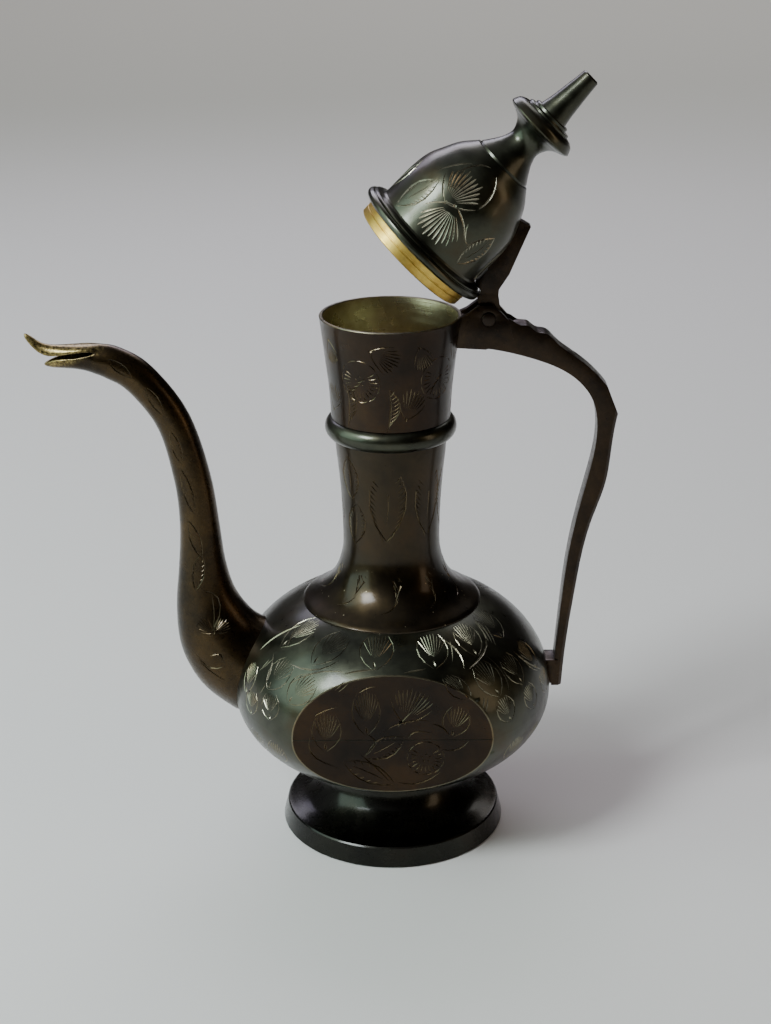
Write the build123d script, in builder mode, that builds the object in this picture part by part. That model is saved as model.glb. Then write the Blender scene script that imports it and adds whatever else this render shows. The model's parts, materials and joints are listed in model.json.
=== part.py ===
"""A long-spouted brass ewer: engraved body, tall neck, split-beak spout, cast handle and hinged lid.

Frame: millimetres, +Z up. The origin is the centre of the foot's bottom face. The spout points
to -X, the handle and the hinge are at +X, and the flat oval facets face -Y and +Y.
The lid is drawn in its own section plane, which stands open at lid_rest_angle.
"""
from build123d import *
from math import cos, pi, radians, sin
import os

# ---------------------------------------------------------------- driving dimensions
# Foot
foot_radius = 44.4
foot_band_height = 8.0
foot_band_taper = 1.9
foot_band_step = 1.0
foot_throat_radius = 25.0
foot_wall = 2.2

# Body: a squashed round vessel in two halves, with a flat oval facet on the front and the back
body_radius = 62.5
body_base_height = 24.0
body_lower_rise = 35.3
body_upper_rise = 43.1
body_squareness = 2.08
body_wall = 1.8
facet_distance = 49.9
strainer_hole_radius = 2.4
strainer_pitch = 7.0
strainer_rise = 15.0

# Neck, ring and mouth cup
skirt_radius = 34.6
skirt_edge = 0.9
skirt_knees = [(6.3, 3.8), (10.8, 8.2)]
neck_radius = 18.6
neck_top_radius = 21.1
neck_wall = 1.6
neck_waist_height = 121.0
neck_flare_top = 161.0
ring_base_height = 163.0
ring_height = 8.2
ring_bulge = 3.8
cup_base_radius = 22.5
cup_rim_radius = 26.43
cup_height = 38.8
cup_wall = 1.5
cup_spigot_depth = 7.2
cup_spigot_wall = 1.2

# Hinge and lid arm
hinge_offset = 9.6
hinge_drop = 0.6
hinge_pin_radius = 1.5
hinge_running_clearance = 0.06
knuckle_radius = 4.9
slot_clearance = 0.3
slot_floor_drop = 2.6
slot_length = 12.5
arm_thickness = 6.0
ear_thickness = 2.6
rivet_head_radius = 2.7
rivet_head_height = 0.9
lid_rest_angle = 45.0

# Lid
lid_gap = 0.15
flange_overhang = 1.37
flange_thickness = 4.4
flange_seat_inset = 0.6
flange_edge = 0.8
dome_inset = 3.73
dome_foot_flare = 1.2
dome_wall_height = 18.0
dome_height = 44.2
dome_wall = 1.6
stem_base_radius = 10.3
spigot_clearance = 0.4
spigot_depth = 5.5
spigot_wall = 1.3
stem_waist_radius = 6.2
stem_knee_radius = 7.3
stem_lip = 2.6
stem_height = 14.8
disc_radius = 14.0
disc_height = 5.4
disc_edge_taper = 2.2
disc_collar_radius = 9.4
disc_collar_step = 1.9
disc_collar_height = 2.4
spire_base_radius = 6.0
spire_tip_radius = 3.4
spire_height = 18.7
stud_radius = 2.0
stud_clearance = 0.05
stud_head_radius = 4.5
stud_head_height = 2.0
stud_engagement = 9.0

# Lid arm: each outline point is (distance beyond the dome's wall, height above the rim)
arm_outer_edge = [(-4.5, 32.5), (0.2, 33.7), (4.3, 23.4), (7.3, 16.0), (8.7, 9.4), (10.0, 7.9)]
arm_inner_edge = [(0.9, 5.4), (0.6, 11.3), (-1.6, 14.0), (-6.2, 28.0)]
arm_shoulder = [(0.8, 4.8), (3.4, 2.8)]

# Handle: the crest is (distance beyond the hinge, drop below it), scalloped near the hinge.
# The grip's edges are (reach beyond the body's radius, share of the way from seam to knob)
handle_thickness = 8.4
handle_bevel = 1.3
handle_end_width = 4.0
handle_end_gap = 0.6
handle_end_drop = 0.5
handle_crest = [(6.0, 0.4), (8.6, 0.9), (11.4, 2.6), (14.6, 3.0), (17.8, 5.3), (21.2, 6.0), (25.0, 9.2),
                (33.4, 15.7)]
handle_knee_reach = 18.5
handle_knee_drop = 26.9
handle_knob_reach = 22.8
handle_knob_drop = 37.7
handle_back_edge = [(21.1, 0.900), (19.1, 0.754), (14.5, 0.623), (8.7, 0.353), (6.1, 0.169)]
handle_front_edge = [(3.1, 0.262), (6.4, 0.534), (11.6, 0.754), (15.1, 0.955), (13.1, 1.050)]
handle_under_edge = [(16.7, 15.6), (-1.0, 11.6), (-12.0, 11.0)]
handle_under_knee = (6.2, 23.3)
ear_outline = [(-12.0, 10.9), (-12.0, 0.2), (-7.6, -1.8), (-3.4, -5.0), (1.5, -5.0), (5.0, -2.0), (7.5, 0.8),
               (9.5, 8.5), (-1.0, 11.6)]
ear_slot_depth = 16.0
ear_slot_height = 10.8
lug_height = 10.0
lug_offset = 0.8
lug_reach = 2.2
lug_root = 8.0
braze_film = 0.02
lug_thickness = 9.6

# Spout: each station is the centre's (reach beyond the body's radius, height), the section's
# tilt from level, its width in the side view and its breadth across
spout_wall = 1.5
spout_stations = [
    ((-10.5, 65.5), 60.0, 40.5, 32.0),
    ((1.3, 73.4), 52.0, 37.0, 29.0),
    ((8.2, 84.3), 40.2, 32.1, 25.5),
    ((10.8, 96.2), 29.6, 25.1, 21.0),
    ((11.2, 111.0), 6.2, 18.4, 17.0),
    ((11.5, 128.5), -3.7, 15.3, 14.4),
    ((13.6, 147.2), -2.0, 14.3, 13.2),
    ((19.8, 169.6), 24.0, 13.2, 12.2),
    ((31.6, 185.9), 44.4, 13.4, 12.0),
    ((42.1, 192.4), 70.0, 13.4, 11.6),
]
# Beak: outline points are (distance beyond the spout's end, height above its centre)
beak_crown = [(-1.0, 5.6), (22.0, 6.7)]
beak_upper_tip = [(22.0, 6.7), (26.0, 7.8), (31.5, 11.3)]
beak_upper_inside = [(31.2, 9.6), (24.0, 2.9), (4.5, 4.6)]
beak_lower_inside = [(4.5, 4.6), (14.0, 2.0), (24.8, -0.7)]
beak_keel = [(23.5, -2.0), (13.0, -2.4), (-1.0, -6.2)]
beak_breadth = 11.0
beak_tip_breadth = 3.0
beak_taper_start = 8.0
beak_reach = 32.0
beak_channel_height = 5.4
beak_channel_depth = 14.0

# ---------------------------------------------------------------- derived heights
seam_height = body_base_height + body_lower_rise
ring_top_height = ring_base_height + ring_height
rim_height = ring_top_height + cup_height
hinge_x = cup_rim_radius + hinge_offset
hinge_z = rim_height - hinge_drop
neck_bore_radius = neck_radius - neck_wall
dome_radius = cup_rim_radius - dome_inset
flange_radius = cup_rim_radius + flange_overhang
ear_breadth = arm_thickness + 2 * slot_clearance + 2 * ear_thickness

# ---------------------------------------------------------------- lid section plane
rest_turn = radians(lid_rest_angle)
lid_right = Vector(cos(rest_turn), 0, -sin(rest_turn))
lid_up = Vector(sin(rest_turn), 0, cos(rest_turn))
lid_origin = Vector(hinge_x, 0, hinge_z) - lid_right * hinge_x + lid_up * hinge_drop
lid_section = Plane(origin=lid_origin, x_dir=lid_right, z_dir=(0, -1, 0))
lid_axis = Axis(lid_origin, lid_up)
lid_crown = Plane(origin=lid_origin + lid_up * dome_height, z_dir=lid_up)


def body_outline(radius, rise, steps=10):
    """Points of a quarter of the body's meridian, from the equator to the pole."""
    power = 2 / body_squareness
    turns = [pi / 2 * step / steps for step in range(steps + 1)]
    return [(radius * cos(turn) ** power, rise * sin(turn) ** power) for turn in turns]


def body_height(radius, rise):
    """Distance of the body's surface from the equator, at a given radius."""
    return rise * (1 - (radius / body_radius) ** body_squareness) ** (1 / body_squareness)


def body_solid(inset):
    """The body's full shape, its surface moved inwards by inset everywhere."""
    with BuildPart() as solid:
        with BuildSketch(Plane.XZ):
            with BuildLine():
                upper = body_outline(body_radius - inset, body_upper_rise - inset)
                lower = body_outline(body_radius - inset, body_lower_rise - inset)
                Spline([(x, seam_height + z) for x, z in upper], tangents=[(0, 1), (-1, 0)])
                Spline([(x, seam_height - z) for x, z in lower], tangents=[(0, -1), (-1, 0)])
                Line((0, seam_height + body_upper_rise - inset), (0, body_base_height + inset))
            make_face()
        revolve(axis=Axis.Z)
        split(bisect_by=Plane.XZ.offset(facet_distance - inset), keep=Keep.BOTTOM)
        split(bisect_by=Plane.XZ.offset(inset - facet_distance), keep=Keep.TOP)
    return solid.part


def export(builder, name):
    """Label a finished piece and write it as its own node."""
    builder.part.label = name
    export_step(builder.part, f"parts/{name}.step")


body_full = body_solid(0)
body_cavity = body_solid(body_wall)
body_brazed = body_solid(-braze_film)

# ---------------------------------------------------------------- body: two brazed halves
with BuildPart() as body_lower:
    add(body_full)
    add(body_cavity, mode=Mode.SUBTRACT)
    split(bisect_by=Plane.XY.offset(seam_height), keep=Keep.BOTTOM)

with BuildPart() as body_upper:
    add(body_full)
    add(body_cavity, mode=Mode.SUBTRACT)
    split(bisect_by=Plane.XY.offset(seam_height), keep=Keep.TOP)
    with BuildSketch(Plane.XY.offset(seam_height)):
        Circle(neck_bore_radius)
    extrude(amount=2 * body_upper_rise, mode=Mode.SUBTRACT)
    with BuildSketch(Plane.YZ.offset(-body_radius)):
        with Locations((0, seam_height + strainer_rise)):
            Circle(strainer_hole_radius)
            with PolarLocations(strainer_pitch, 6):
                Circle(strainer_hole_radius)
    extrude(amount=body_radius / 2, mode=Mode.SUBTRACT)

# ---------------------------------------------------------------- foot
foot_seat_height = seam_height - body_height(foot_throat_radius, body_lower_rise)
band_top_radius = foot_radius - foot_band_taper
step_radius = band_top_radius - foot_band_step
with BuildPart() as foot:
    with BuildSketch(Plane.XZ):
        with BuildLine():
            band = Polyline(
                (foot_radius, 0), (band_top_radius, foot_band_height), (step_radius, foot_band_height)
            )
            Spline(band @ 1, (foot_throat_radius, foot_seat_height + foot_wall),
                   tangents=[(-1, 0.12), (-0.15, 1)])
            inner = Line((foot_throat_radius - foot_wall, foot_seat_height + foot_wall),
                         (foot_throat_radius, foot_seat_height + foot_wall))
            roof = Spline(inner @ 0, (step_radius - foot_wall, foot_band_height - foot_wall),
                          tangents=[(0.15, -1), (1, -0.12)])
            Polyline(roof @ 1, (foot_radius - foot_wall, 0), (foot_radius, 0))
        make_face()
    revolve(axis=Axis.Z)
    add(body_full, mode=Mode.SUBTRACT)

# ---------------------------------------------------------------- neck with its skirt
skirt_height = seam_height + body_height(skirt_radius, body_upper_rise) + skirt_edge
with BuildPart() as neck:
    with BuildSketch(Plane.XZ):
        with BuildLine():
            edge = Line((skirt_radius, seam_height), (skirt_radius, skirt_height))
            knees = [(skirt_radius - inwards, skirt_height + rise) for inwards, rise in skirt_knees]
            skirt = Spline(edge @ 1, *knees, (neck_radius, neck_waist_height),
                           tangents=[(-1, 0.5), (0, 1)])
            flare = TangentArc(skirt @ 1, (neck_top_radius, neck_flare_top), tangent=(0, 1))
            Polyline(flare @ 1, (neck_top_radius, ring_top_height),
                     (neck_top_radius - neck_wall, ring_top_height),
                     (neck_top_radius - neck_wall, neck_flare_top))
            bore = TangentArc((neck_bore_radius, neck_waist_height),
                              (neck_top_radius - neck_wall, neck_flare_top), tangent=(0, 1))
            Polyline(bore @ 0, (neck_bore_radius, seam_height), edge @ 0)
        make_face()
    revolve(axis=Axis.Z)
    add(body_full, mode=Mode.SUBTRACT)

# ---------------------------------------------------------------- neck ring
with BuildPart() as neck_ring:
    with BuildSketch(Plane.XZ):
        with BuildLine():
            ThreePointArc((neck_top_radius, ring_base_height),
                          (neck_top_radius + ring_bulge, ring_base_height + ring_height / 2),
                          (neck_top_radius, ring_top_height))
            Line((neck_top_radius, ring_top_height), (neck_top_radius, ring_base_height))
        make_face()
    revolve(axis=Axis.Z)

# ---------------------------------------------------------------- mouth cup
cup_spigot_radius = neck_top_radius - neck_wall
cup_floor_height = ring_top_height + cup_wall
cup_flare = [
    (cup_base_radius, ring_top_height),
    (cup_base_radius + 0.18 * (cup_rim_radius - cup_base_radius), ring_top_height + 0.3 * cup_height),
    (cup_base_radius + 0.64 * (cup_rim_radius - cup_base_radius), ring_top_height + 0.7 * cup_height),
    (cup_rim_radius, rim_height),
]
with BuildPart() as mouth_cup:
    with BuildSketch(Plane.XZ):
        with BuildLine():
            Spline(cup_flare)
            Line((cup_rim_radius, rim_height), (cup_rim_radius - cup_wall, rim_height))
            Spline([(x - cup_wall, z) for x, z in reversed(cup_flare[1:])])
            Polyline((cup_flare[1][0] - cup_wall, cup_flare[1][1]),
                     (cup_base_radius - cup_wall, cup_floor_height + cup_wall),
                     (cup_spigot_radius - cup_spigot_wall, cup_floor_height),
                     (cup_spigot_radius - cup_spigot_wall, ring_top_height - cup_spigot_depth),
                     (cup_spigot_radius, ring_top_height - cup_spigot_depth),
                     (cup_spigot_radius, ring_top_height),
                     (cup_base_radius, ring_top_height))
        make_face()
    revolve(axis=Axis.Z)

# ---------------------------------------------------------------- spout with its split beak
def spout_solid(inset, stations):
    """The spout's tube, lofted through its stations, each made smaller by inset all round."""
    with BuildPart() as tube:
        for (reach, z), tilt, width, breadth in stations:
            turn = radians(tilt)
            section = Plane(origin=(-body_radius - reach, 0, z), x_dir=(cos(turn), 0, sin(turn)),
                            z_dir=(-sin(turn), 0, cos(turn)))
            with BuildSketch(section):
                Ellipse(width / 2 - inset, breadth / 2 - inset)
        loft()
    return tube.part


spout_end_x = -body_radius - spout_stations[-1][0][0]
spout_end_z = spout_stations[-1][0][1]


def beak_points(outline):
    """Beak outline points in the side view."""
    return [(spout_end_x - beyond, spout_end_z + rise) for beyond, rise in outline]


with BuildPart() as beak:
    with BuildSketch(Plane.XZ):
        with BuildLine():
            Polyline(beak_points(beak_crown))
            tip = Spline(beak_points(beak_upper_tip), tangents=[(-1, 0), (-1, 0.4)])
            roof = Spline(beak_points(beak_upper_inside), tangents=[(0.5, -1), (1, 0.2)])
            Line(tip @ 1, roof @ 0)
            trough = Spline(beak_points(beak_lower_inside), tangents=[(-1, -0.6), (-1, -0.5)])
            keel = Spline(beak_points(beak_keel), tangents=[(1, 0), (1, -0.5)])
            Line(trough @ 1, keel @ 0)
            Line(keel @ 1, beak_points(beak_crown)[0])
        make_face()
    extrude(amount=beak_breadth / 2, both=True)
    with BuildSketch(Plane.XY.offset(spout_end_z - beak_reach)):
        with BuildLine():
            Polyline((spout_end_x + 2, beak_breadth / 2), (spout_end_x - beak_taper_start, beak_breadth / 2),
                     (spout_end_x - beak_reach, beak_tip_breadth / 2),
                     (spout_end_x - beak_reach, -beak_tip_breadth / 2),
                     (spout_end_x - beak_taper_start, -beak_breadth / 2),
                     (spout_end_x + 2, -beak_breadth / 2), close=True)
        make_face()
    extrude(amount=2 * beak_reach, mode=Mode.INTERSECT)

spout_full = spout_solid(0, spout_stations)
spout_bore = spout_solid(spout_wall, spout_stations)
with BuildPart() as spout:
    add(spout_full)
    add(beak.part)
    add(body_full, mode=Mode.SUBTRACT)
    add(spout_bore, mode=Mode.SUBTRACT)
    with BuildSketch(Plane.YZ.offset(spout_end_x + 3)):
        with Locations((0, spout_end_z)):
            SlotOverall(beak_breadth - 2 * spout_wall, beak_channel_height)
    extrude(amount=-beak_channel_depth, mode=Mode.SUBTRACT)

# ---------------------------------------------------------------- handle with its hinge ears
handle_end = (body_radius + handle_end_gap, seam_height - handle_end_drop)
handle_knee = (body_radius + handle_knee_reach, hinge_z - handle_knee_drop)
handle_knob = (body_radius + handle_knob_reach, hinge_z - handle_knob_drop)
grip_rise = handle_knob[1] - seam_height
lug_base_z = seam_height + lug_offset


def from_hinge(outline):
    """Outline points given as distance beyond the hinge and drop below it."""
    return [(hinge_x + beyond, hinge_z - drop) for beyond, drop in outline]


def on_grip(outline):
    """Outline points given as reach beyond the body and share of the way from seam to knob."""
    return [(body_radius + reach, seam_height + share * grip_rise) for reach, share in outline]


with BuildPart() as handle:
    with BuildSketch(Plane.XZ):
        with BuildLine():
            crest = Spline(*from_hinge(handle_crest), handle_knee)
            Line(handle_knee, handle_knob)
            back = Spline(handle_knob, *on_grip(handle_back_edge),
                          (handle_end[0] + handle_end_width, handle_end[1]))
            Line(back @ 1, handle_end)
            under = Spline(handle_end, *on_grip(handle_front_edge),
                           (body_radius + handle_under_knee[0], hinge_z - handle_under_knee[1]),
                           *from_hinge(handle_under_edge))
            Polyline(under @ 1, *from_hinge([(-12.0, 2.0), (4.0, 2.0)]), crest @ 0)
        make_face()
    extrude(amount=handle_thickness / 2, both=True)
    back_edges = handle.edges().filter_by(lambda edge: grip_rise < edge.length < 1.1 * grip_rise)
    chamfer(back_edges, handle_bevel)
    with BuildSketch(Plane.XZ):
        with BuildLine():
            Polyline(from_hinge(ear_outline), close=True)
        make_face()
    extrude(amount=ear_breadth / 2, both=True)
    with BuildSketch(Plane.XZ):
        with Locations((hinge_x, hinge_z)):
            Circle(knuckle_radius + 2 * slot_clearance)
        with Locations((hinge_x, hinge_z)):
            Rectangle(ear_slot_depth, ear_slot_height, align=(Align.MAX, Align.MIN))
        with Locations((hinge_x, hinge_z - slot_floor_drop)):
            Rectangle(slot_length, ear_slot_height, align=(Align.MIN, Align.MIN))
    extrude(amount=arm_thickness / 2 + slot_clearance, both=True, mode=Mode.SUBTRACT)
    with BuildSketch(Plane.XZ):
        with Locations((hinge_x, hinge_z)):
            Circle(hinge_pin_radius)
    extrude(amount=ear_breadth, both=True, mode=Mode.SUBTRACT)
    with BuildSketch(Plane.XZ):
        with BuildLine():
            Polyline((0, ring_top_height), (cup_base_radius, ring_top_height))
            Spline(cup_flare)
            Polyline((cup_rim_radius, rim_height), (cup_rim_radius, rim_height + 5), (0, rim_height + 5),
                     (0, ring_top_height))
        make_face()
    revolve(axis=Axis.Z, mode=Mode.SUBTRACT)

# ---------------------------------------------------------------- lug at the handle's lower end
with BuildPart() as handle_lug:
    with BuildSketch(Plane.XZ):
        with BuildLine():
            Polyline((body_radius - lug_root, lug_base_z), (handle_end[0] + lug_reach, lug_base_z),
                     (handle_end[0] + lug_reach, lug_base_z + lug_height),
                     (body_radius - lug_root, lug_base_z + lug_height), close=True)
        make_face()
    extrude(amount=lug_thickness / 2, both=True)
    add(body_brazed, mode=Mode.SUBTRACT)
    add(handle.part, mode=Mode.SUBTRACT)

# ---------------------------------------------------------------- hinge pin with riveted heads
with BuildPart() as hinge_pin:
    with BuildSketch(Plane.XZ):
        with Locations((hinge_x, hinge_z)):
            Circle(hinge_pin_radius)
    extrude(amount=ear_breadth / 2, both=True)
    for side in (-1, 1):
        with BuildSketch(Plane.XZ.offset(side * ear_breadth / 2)):
            with Locations((hinge_x, hinge_z)):
                Circle(rivet_head_radius)
        extrude(amount=side * rivet_head_height, taper=20)

# ---------------------------------------------------------------- lid: dome, spigot and finial
def dome_curve(inset):
    """The dome's shoulder from the top of its upright wall to its crown."""
    rise = dome_height - dome_wall_height
    return Spline(
        (dome_radius - inset, dome_wall_height),
        (0.848 * dome_radius - inset, dome_wall_height + 0.51 * rise - inset / 2),
        (0.56 * dome_radius - inset / 2, dome_wall_height + 0.885 * rise - inset),
        (stem_base_radius - inset / 2, dome_height - inset),
        tangents=[(0, 1), (-1, 0.8)],
    )


flange_seat_radius = cup_rim_radius - flange_seat_inset
flange_top = lid_gap + flange_thickness
with BuildPart() as dome_full:
    with BuildSketch(lid_section):
        with BuildLine():
            Polyline((0, lid_gap), (flange_seat_radius, lid_gap),
                     (flange_radius, lid_gap + 0.4 * flange_thickness),
                     (flange_radius, lid_gap + 0.7 * flange_thickness),
                     (flange_radius - flange_edge, flange_top),
                     (dome_radius + dome_foot_flare, flange_top), (dome_radius, flange_top + dome_foot_flare),
                     (dome_radius, dome_wall_height))
            dome_curve(0)
            Polyline((stem_base_radius, dome_height), (0, dome_height), (0, lid_gap))
        make_face()
    revolve(axis=lid_axis)

with BuildPart() as lid_dome:
    add(dome_full.part)
    with BuildSketch(lid_section):
        with BuildLine():
            Polyline((0, dome_height - dome_wall), (0, lid_gap), (dome_radius - dome_wall, lid_gap),
                     (dome_radius - dome_wall, dome_wall_height))
            dome_curve(dome_wall)
            Line((stem_base_radius - dome_wall / 2, dome_height - dome_wall), (0, dome_height - dome_wall))
        make_face()
    revolve(axis=lid_axis, mode=Mode.SUBTRACT)
    with BuildSketch(lid_crown):
        Circle(stud_radius + stud_clearance)
    extrude(amount=-2 * dome_wall, mode=Mode.SUBTRACT)

cup_slope = (cup_rim_radius - cup_flare[2][0]) / (rim_height - cup_flare[2][1])
spigot_radius = cup_rim_radius - cup_wall - spigot_clearance - cup_slope * spigot_depth
with BuildPart() as lid_spigot:
    with BuildSketch(lid_section):
        with BuildLine():
            Polyline((dome_radius - dome_wall, lid_gap),
                     (dome_radius - dome_wall, lid_gap + flange_thickness),
                     (dome_radius - dome_wall - spigot_wall, lid_gap + flange_thickness),
                     (dome_radius - dome_wall - spigot_wall, -spigot_depth),
                     (spigot_radius - 0.4, -spigot_depth), (spigot_radius, 0.4 - spigot_depth),
                     (spigot_radius, lid_gap), close=True)
        make_face()
    revolve(axis=lid_axis)

stem_top = dome_height + stem_height
with BuildPart() as finial_stem:
    with BuildSketch(lid_section):
        with BuildLine():
            Spline((stem_base_radius, dome_height), (stem_knee_radius, dome_height + 0.34 * stem_height),
                   (stem_waist_radius, dome_height + 0.54 * stem_height),
                   (stem_knee_radius, dome_height + 0.75 * stem_height), (disc_radius - stem_lip, stem_top),
                   tangents=[(-1, 0.9), (1, 0.5)])
            Polyline((disc_radius - stem_lip, stem_top), (stud_radius + stud_clearance, stem_top),
                     (stud_radius + stud_clearance, dome_height), (stem_base_radius, dome_height))
        make_face()
    revolve(axis=lid_axis)

disc_top = stem_top + disc_height
with BuildPart() as finial_disc:
    with BuildSketch(lid_section):
        with BuildLine():
            Polyline((stud_radius + stud_clearance, stem_top), (disc_radius - disc_edge_taper, stem_top),
                     (disc_radius, stem_top + 0.25 * disc_height))
            Spline((disc_radius, stem_top + 0.25 * disc_height),
                   (disc_radius - 0.9, stem_top + 0.70 * disc_height), (disc_collar_radius + 0.3, disc_top),
                   tangents=[(0.3, 1), (-1, 0.25)])
            Polyline((disc_collar_radius + 0.3, disc_top), (disc_collar_radius, disc_top),
                     (disc_collar_radius, disc_top + 0.4 * disc_collar_height),
                     (disc_collar_radius - disc_collar_step, disc_top + 0.4 * disc_collar_height),
                     (disc_collar_radius - disc_collar_step, disc_top + disc_collar_height),
                     (stud_radius + stud_clearance, disc_top + disc_collar_height),
                     (stud_radius + stud_clearance, stem_top))
        make_face()
    revolve(axis=lid_axis)

spire_base = disc_top + disc_collar_height
with BuildPart() as finial_spire:
    with BuildSketch(lid_section):
        with BuildLine():
            Polyline((0, spire_base + stud_engagement), (0, spire_base + spire_height),
                     (spire_tip_radius - 0.5, spire_base + spire_height),
                     (spire_tip_radius, spire_base + spire_height - 0.5))
            Spline((spire_tip_radius, spire_base + spire_height - 0.5),
                   ((spire_base_radius + spire_tip_radius) / 2 - 0.25, spire_base + spire_height / 2),
                   (spire_base_radius, spire_base))
            Polyline((spire_base_radius, spire_base), (stud_radius + stud_clearance, spire_base),
                     (stud_radius + stud_clearance, spire_base + stud_engagement),
                     (0, spire_base + stud_engagement))
        make_face()
    revolve(axis=lid_axis)

stud_seat = dome_height - dome_wall
with BuildPart() as finial_stud:
    with BuildSketch(lid_section):
        with BuildLine():
            Polyline((0, stud_seat - stud_head_height), (stud_head_radius, stud_seat - stud_head_height),
                     (stud_head_radius, stud_seat), (stud_radius, stud_seat),
                     (stud_radius, spire_base + stud_engagement - 1), (0, spire_base + stud_engagement - 1),
                     close=True)
        make_face()
    revolve(axis=lid_axis)

# ---------------------------------------------------------------- lid arm
arm_x = hinge_x
arm_z = hinge_drop
with BuildPart() as lid_arm:
    with BuildSketch(lid_section):
        with BuildLine():
            outer = Polyline(*[(dome_radius + beyond, height) for beyond, height in arm_outer_edge],
                             *[(arm_x + beyond, height) for beyond, height in arm_shoulder],
                             (arm_x + knuckle_radius, -arm_z))
            ThreePointArc((arm_x + knuckle_radius, -arm_z), (arm_x, -arm_z - knuckle_radius),
                          (arm_x - knuckle_radius, -arm_z))
            Polyline((arm_x - knuckle_radius, -arm_z),
                     (flange_radius - flange_edge, lid_gap + 0.5 * flange_thickness),
                     *[(dome_radius + beyond, height) for beyond, height in arm_inner_edge], outer @ 0)
        make_face()
    extrude(amount=arm_thickness / 2, both=True)
    with BuildSketch(lid_section):
        with Locations((arm_x, -arm_z)):
            Circle(hinge_pin_radius + hinge_running_clearance)
    extrude(amount=arm_thickness, both=True, mode=Mode.SUBTRACT)
    add(dome_full.part, mode=Mode.SUBTRACT)

# ---------------------------------------------------------------- one file for each piece
os.makedirs("parts", exist_ok=True)
export(foot, "foot")
export(body_lower, "body_lower")
export(body_upper, "body_upper")
export(neck, "neck")
export(neck_ring, "neck_ring")
export(mouth_cup, "mouth_cup")
export(spout, "spout")
export(handle, "handle")
export(handle_lug, "handle_lug")
export(hinge_pin, "hinge_pin")
export(lid_arm, "lid_arm")
export(lid_dome, "lid_dome")
export(lid_spigot, "lid_spigot")
export(finial_stem, "finial_stem")
export(finial_disc, "finial_disc")
export(finial_spire, "finial_spire")
export(finial_stud, "finial_stud")
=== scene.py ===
# %% [markdown]
# # A long-spouted brass ewer
# The object is a cast and turned brass ewer with a dark bronze patina. Its engraving is
# bright-cut: a graver pushes a sharp V through the dark skin, so each line is a real groove.
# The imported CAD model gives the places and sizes. This file gives the looks.

# %% Load the frame
import json
import random
from math import cos, pi, radians, sin

import bmesh
import bpy
from mathutils import Matrix, Vector
from mathutils.bvhtree import BVHTree


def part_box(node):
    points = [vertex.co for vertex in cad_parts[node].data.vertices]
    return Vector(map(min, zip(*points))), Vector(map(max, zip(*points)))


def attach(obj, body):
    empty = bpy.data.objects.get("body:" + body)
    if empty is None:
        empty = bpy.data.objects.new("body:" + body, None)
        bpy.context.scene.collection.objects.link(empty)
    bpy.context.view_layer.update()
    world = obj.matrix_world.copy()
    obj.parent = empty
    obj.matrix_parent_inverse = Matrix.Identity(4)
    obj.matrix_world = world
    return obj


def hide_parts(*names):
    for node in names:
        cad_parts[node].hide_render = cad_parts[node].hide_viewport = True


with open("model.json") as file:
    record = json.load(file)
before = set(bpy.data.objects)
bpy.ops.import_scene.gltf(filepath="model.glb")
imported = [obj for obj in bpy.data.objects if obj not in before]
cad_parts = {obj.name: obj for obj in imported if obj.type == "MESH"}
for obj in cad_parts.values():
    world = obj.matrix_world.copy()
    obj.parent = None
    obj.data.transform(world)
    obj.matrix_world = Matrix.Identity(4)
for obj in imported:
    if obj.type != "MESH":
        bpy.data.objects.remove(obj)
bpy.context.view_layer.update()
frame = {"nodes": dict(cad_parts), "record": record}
MM = 0.001
print("nodes:", ", ".join(sorted(frame["nodes"])))

# %% [markdown]
# ## Places taken from the frame
# Every height and radius that another piece depends on is read from the CAD boxes, so the
# pieces meet where the model says. The lid is drawn closed, upright over the mouth, and then
# turned open about its hinge by the rest angle.

# %% Heights and radii in millimetres
def box_mm(node):
    """A node's lowest and highest corners in millimetres."""
    low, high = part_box(node)
    return Vector(low) / MM, Vector(high) / MM


foot_high = box_mm("foot")[1]
lower_low, lower_high = box_mm("body_lower")
cup_low, cup_high = box_mm("mouth_cup")
ring_low, ring_high = box_mm("neck_ring")
body_radius = lower_high.x
seam = lower_high.z
lower_rise = seam - lower_low.z
upper_rise = 43.1  # to the pole that the neck's hole takes away
facet = -lower_low.y
rim = cup_high.z
rim_radius = cup_high.x
joint = frame["record"]["behaviour"]["joints"][0]
hinge = Vector(joint["pos_m"])
rest_angle = -radians(joint["range_deg"][0])
lid_open = Matrix.Translation(hinge) @ Matrix.Rotation(rest_angle, 4, "Y") @ Matrix.Translation(-hinge)
print("seam", round(seam, 1), "rim", round(rim, 1), "facet", round(facet, 1))

# %% [markdown]
# ## Nodes for the finishes
# One helper adds a node, sets its properties, and fills its inputs with values or links.
# Colours are written as sRGB hex values and turned to linear light by one function.

# %% Colour and node helpers
def linear(hex_colour):
    """Linear RGBA of an sRGB hex colour."""
    channels = [int(hex_colour[i:i + 2], 16) / 255 for i in (1, 3, 5)]
    return [c / 12.92 if c <= 0.04045 else ((c + 0.055) / 1.055) ** 2.4 for c in channels] + [1.0]


def add_node(tree, kind, settings=None, **inputs):
    """Add a node, set its properties, then set or link its inputs by name."""
    new = tree.nodes.new(kind)
    for key, value in (settings or {}).items():
        setattr(new, key, value)
    for key, value in inputs.items():
        index = int(key[1:]) if key[0] == "i" and key[1:].isdigit() else key.replace("_", " ")
        socket = new.inputs[index]
        if isinstance(value, bpy.types.NodeSocket):
            tree.links.new(value, socket)
        else:
            socket.default_value = value
    return new


def noise(tree, point, scale, detail, roughness):
    """The value of a noise texture at a point."""
    return add_node(tree, "ShaderNodeTexNoise", Vector=point, Scale=scale, Detail=detail,
                    Roughness=roughness).outputs["Fac"]


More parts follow.
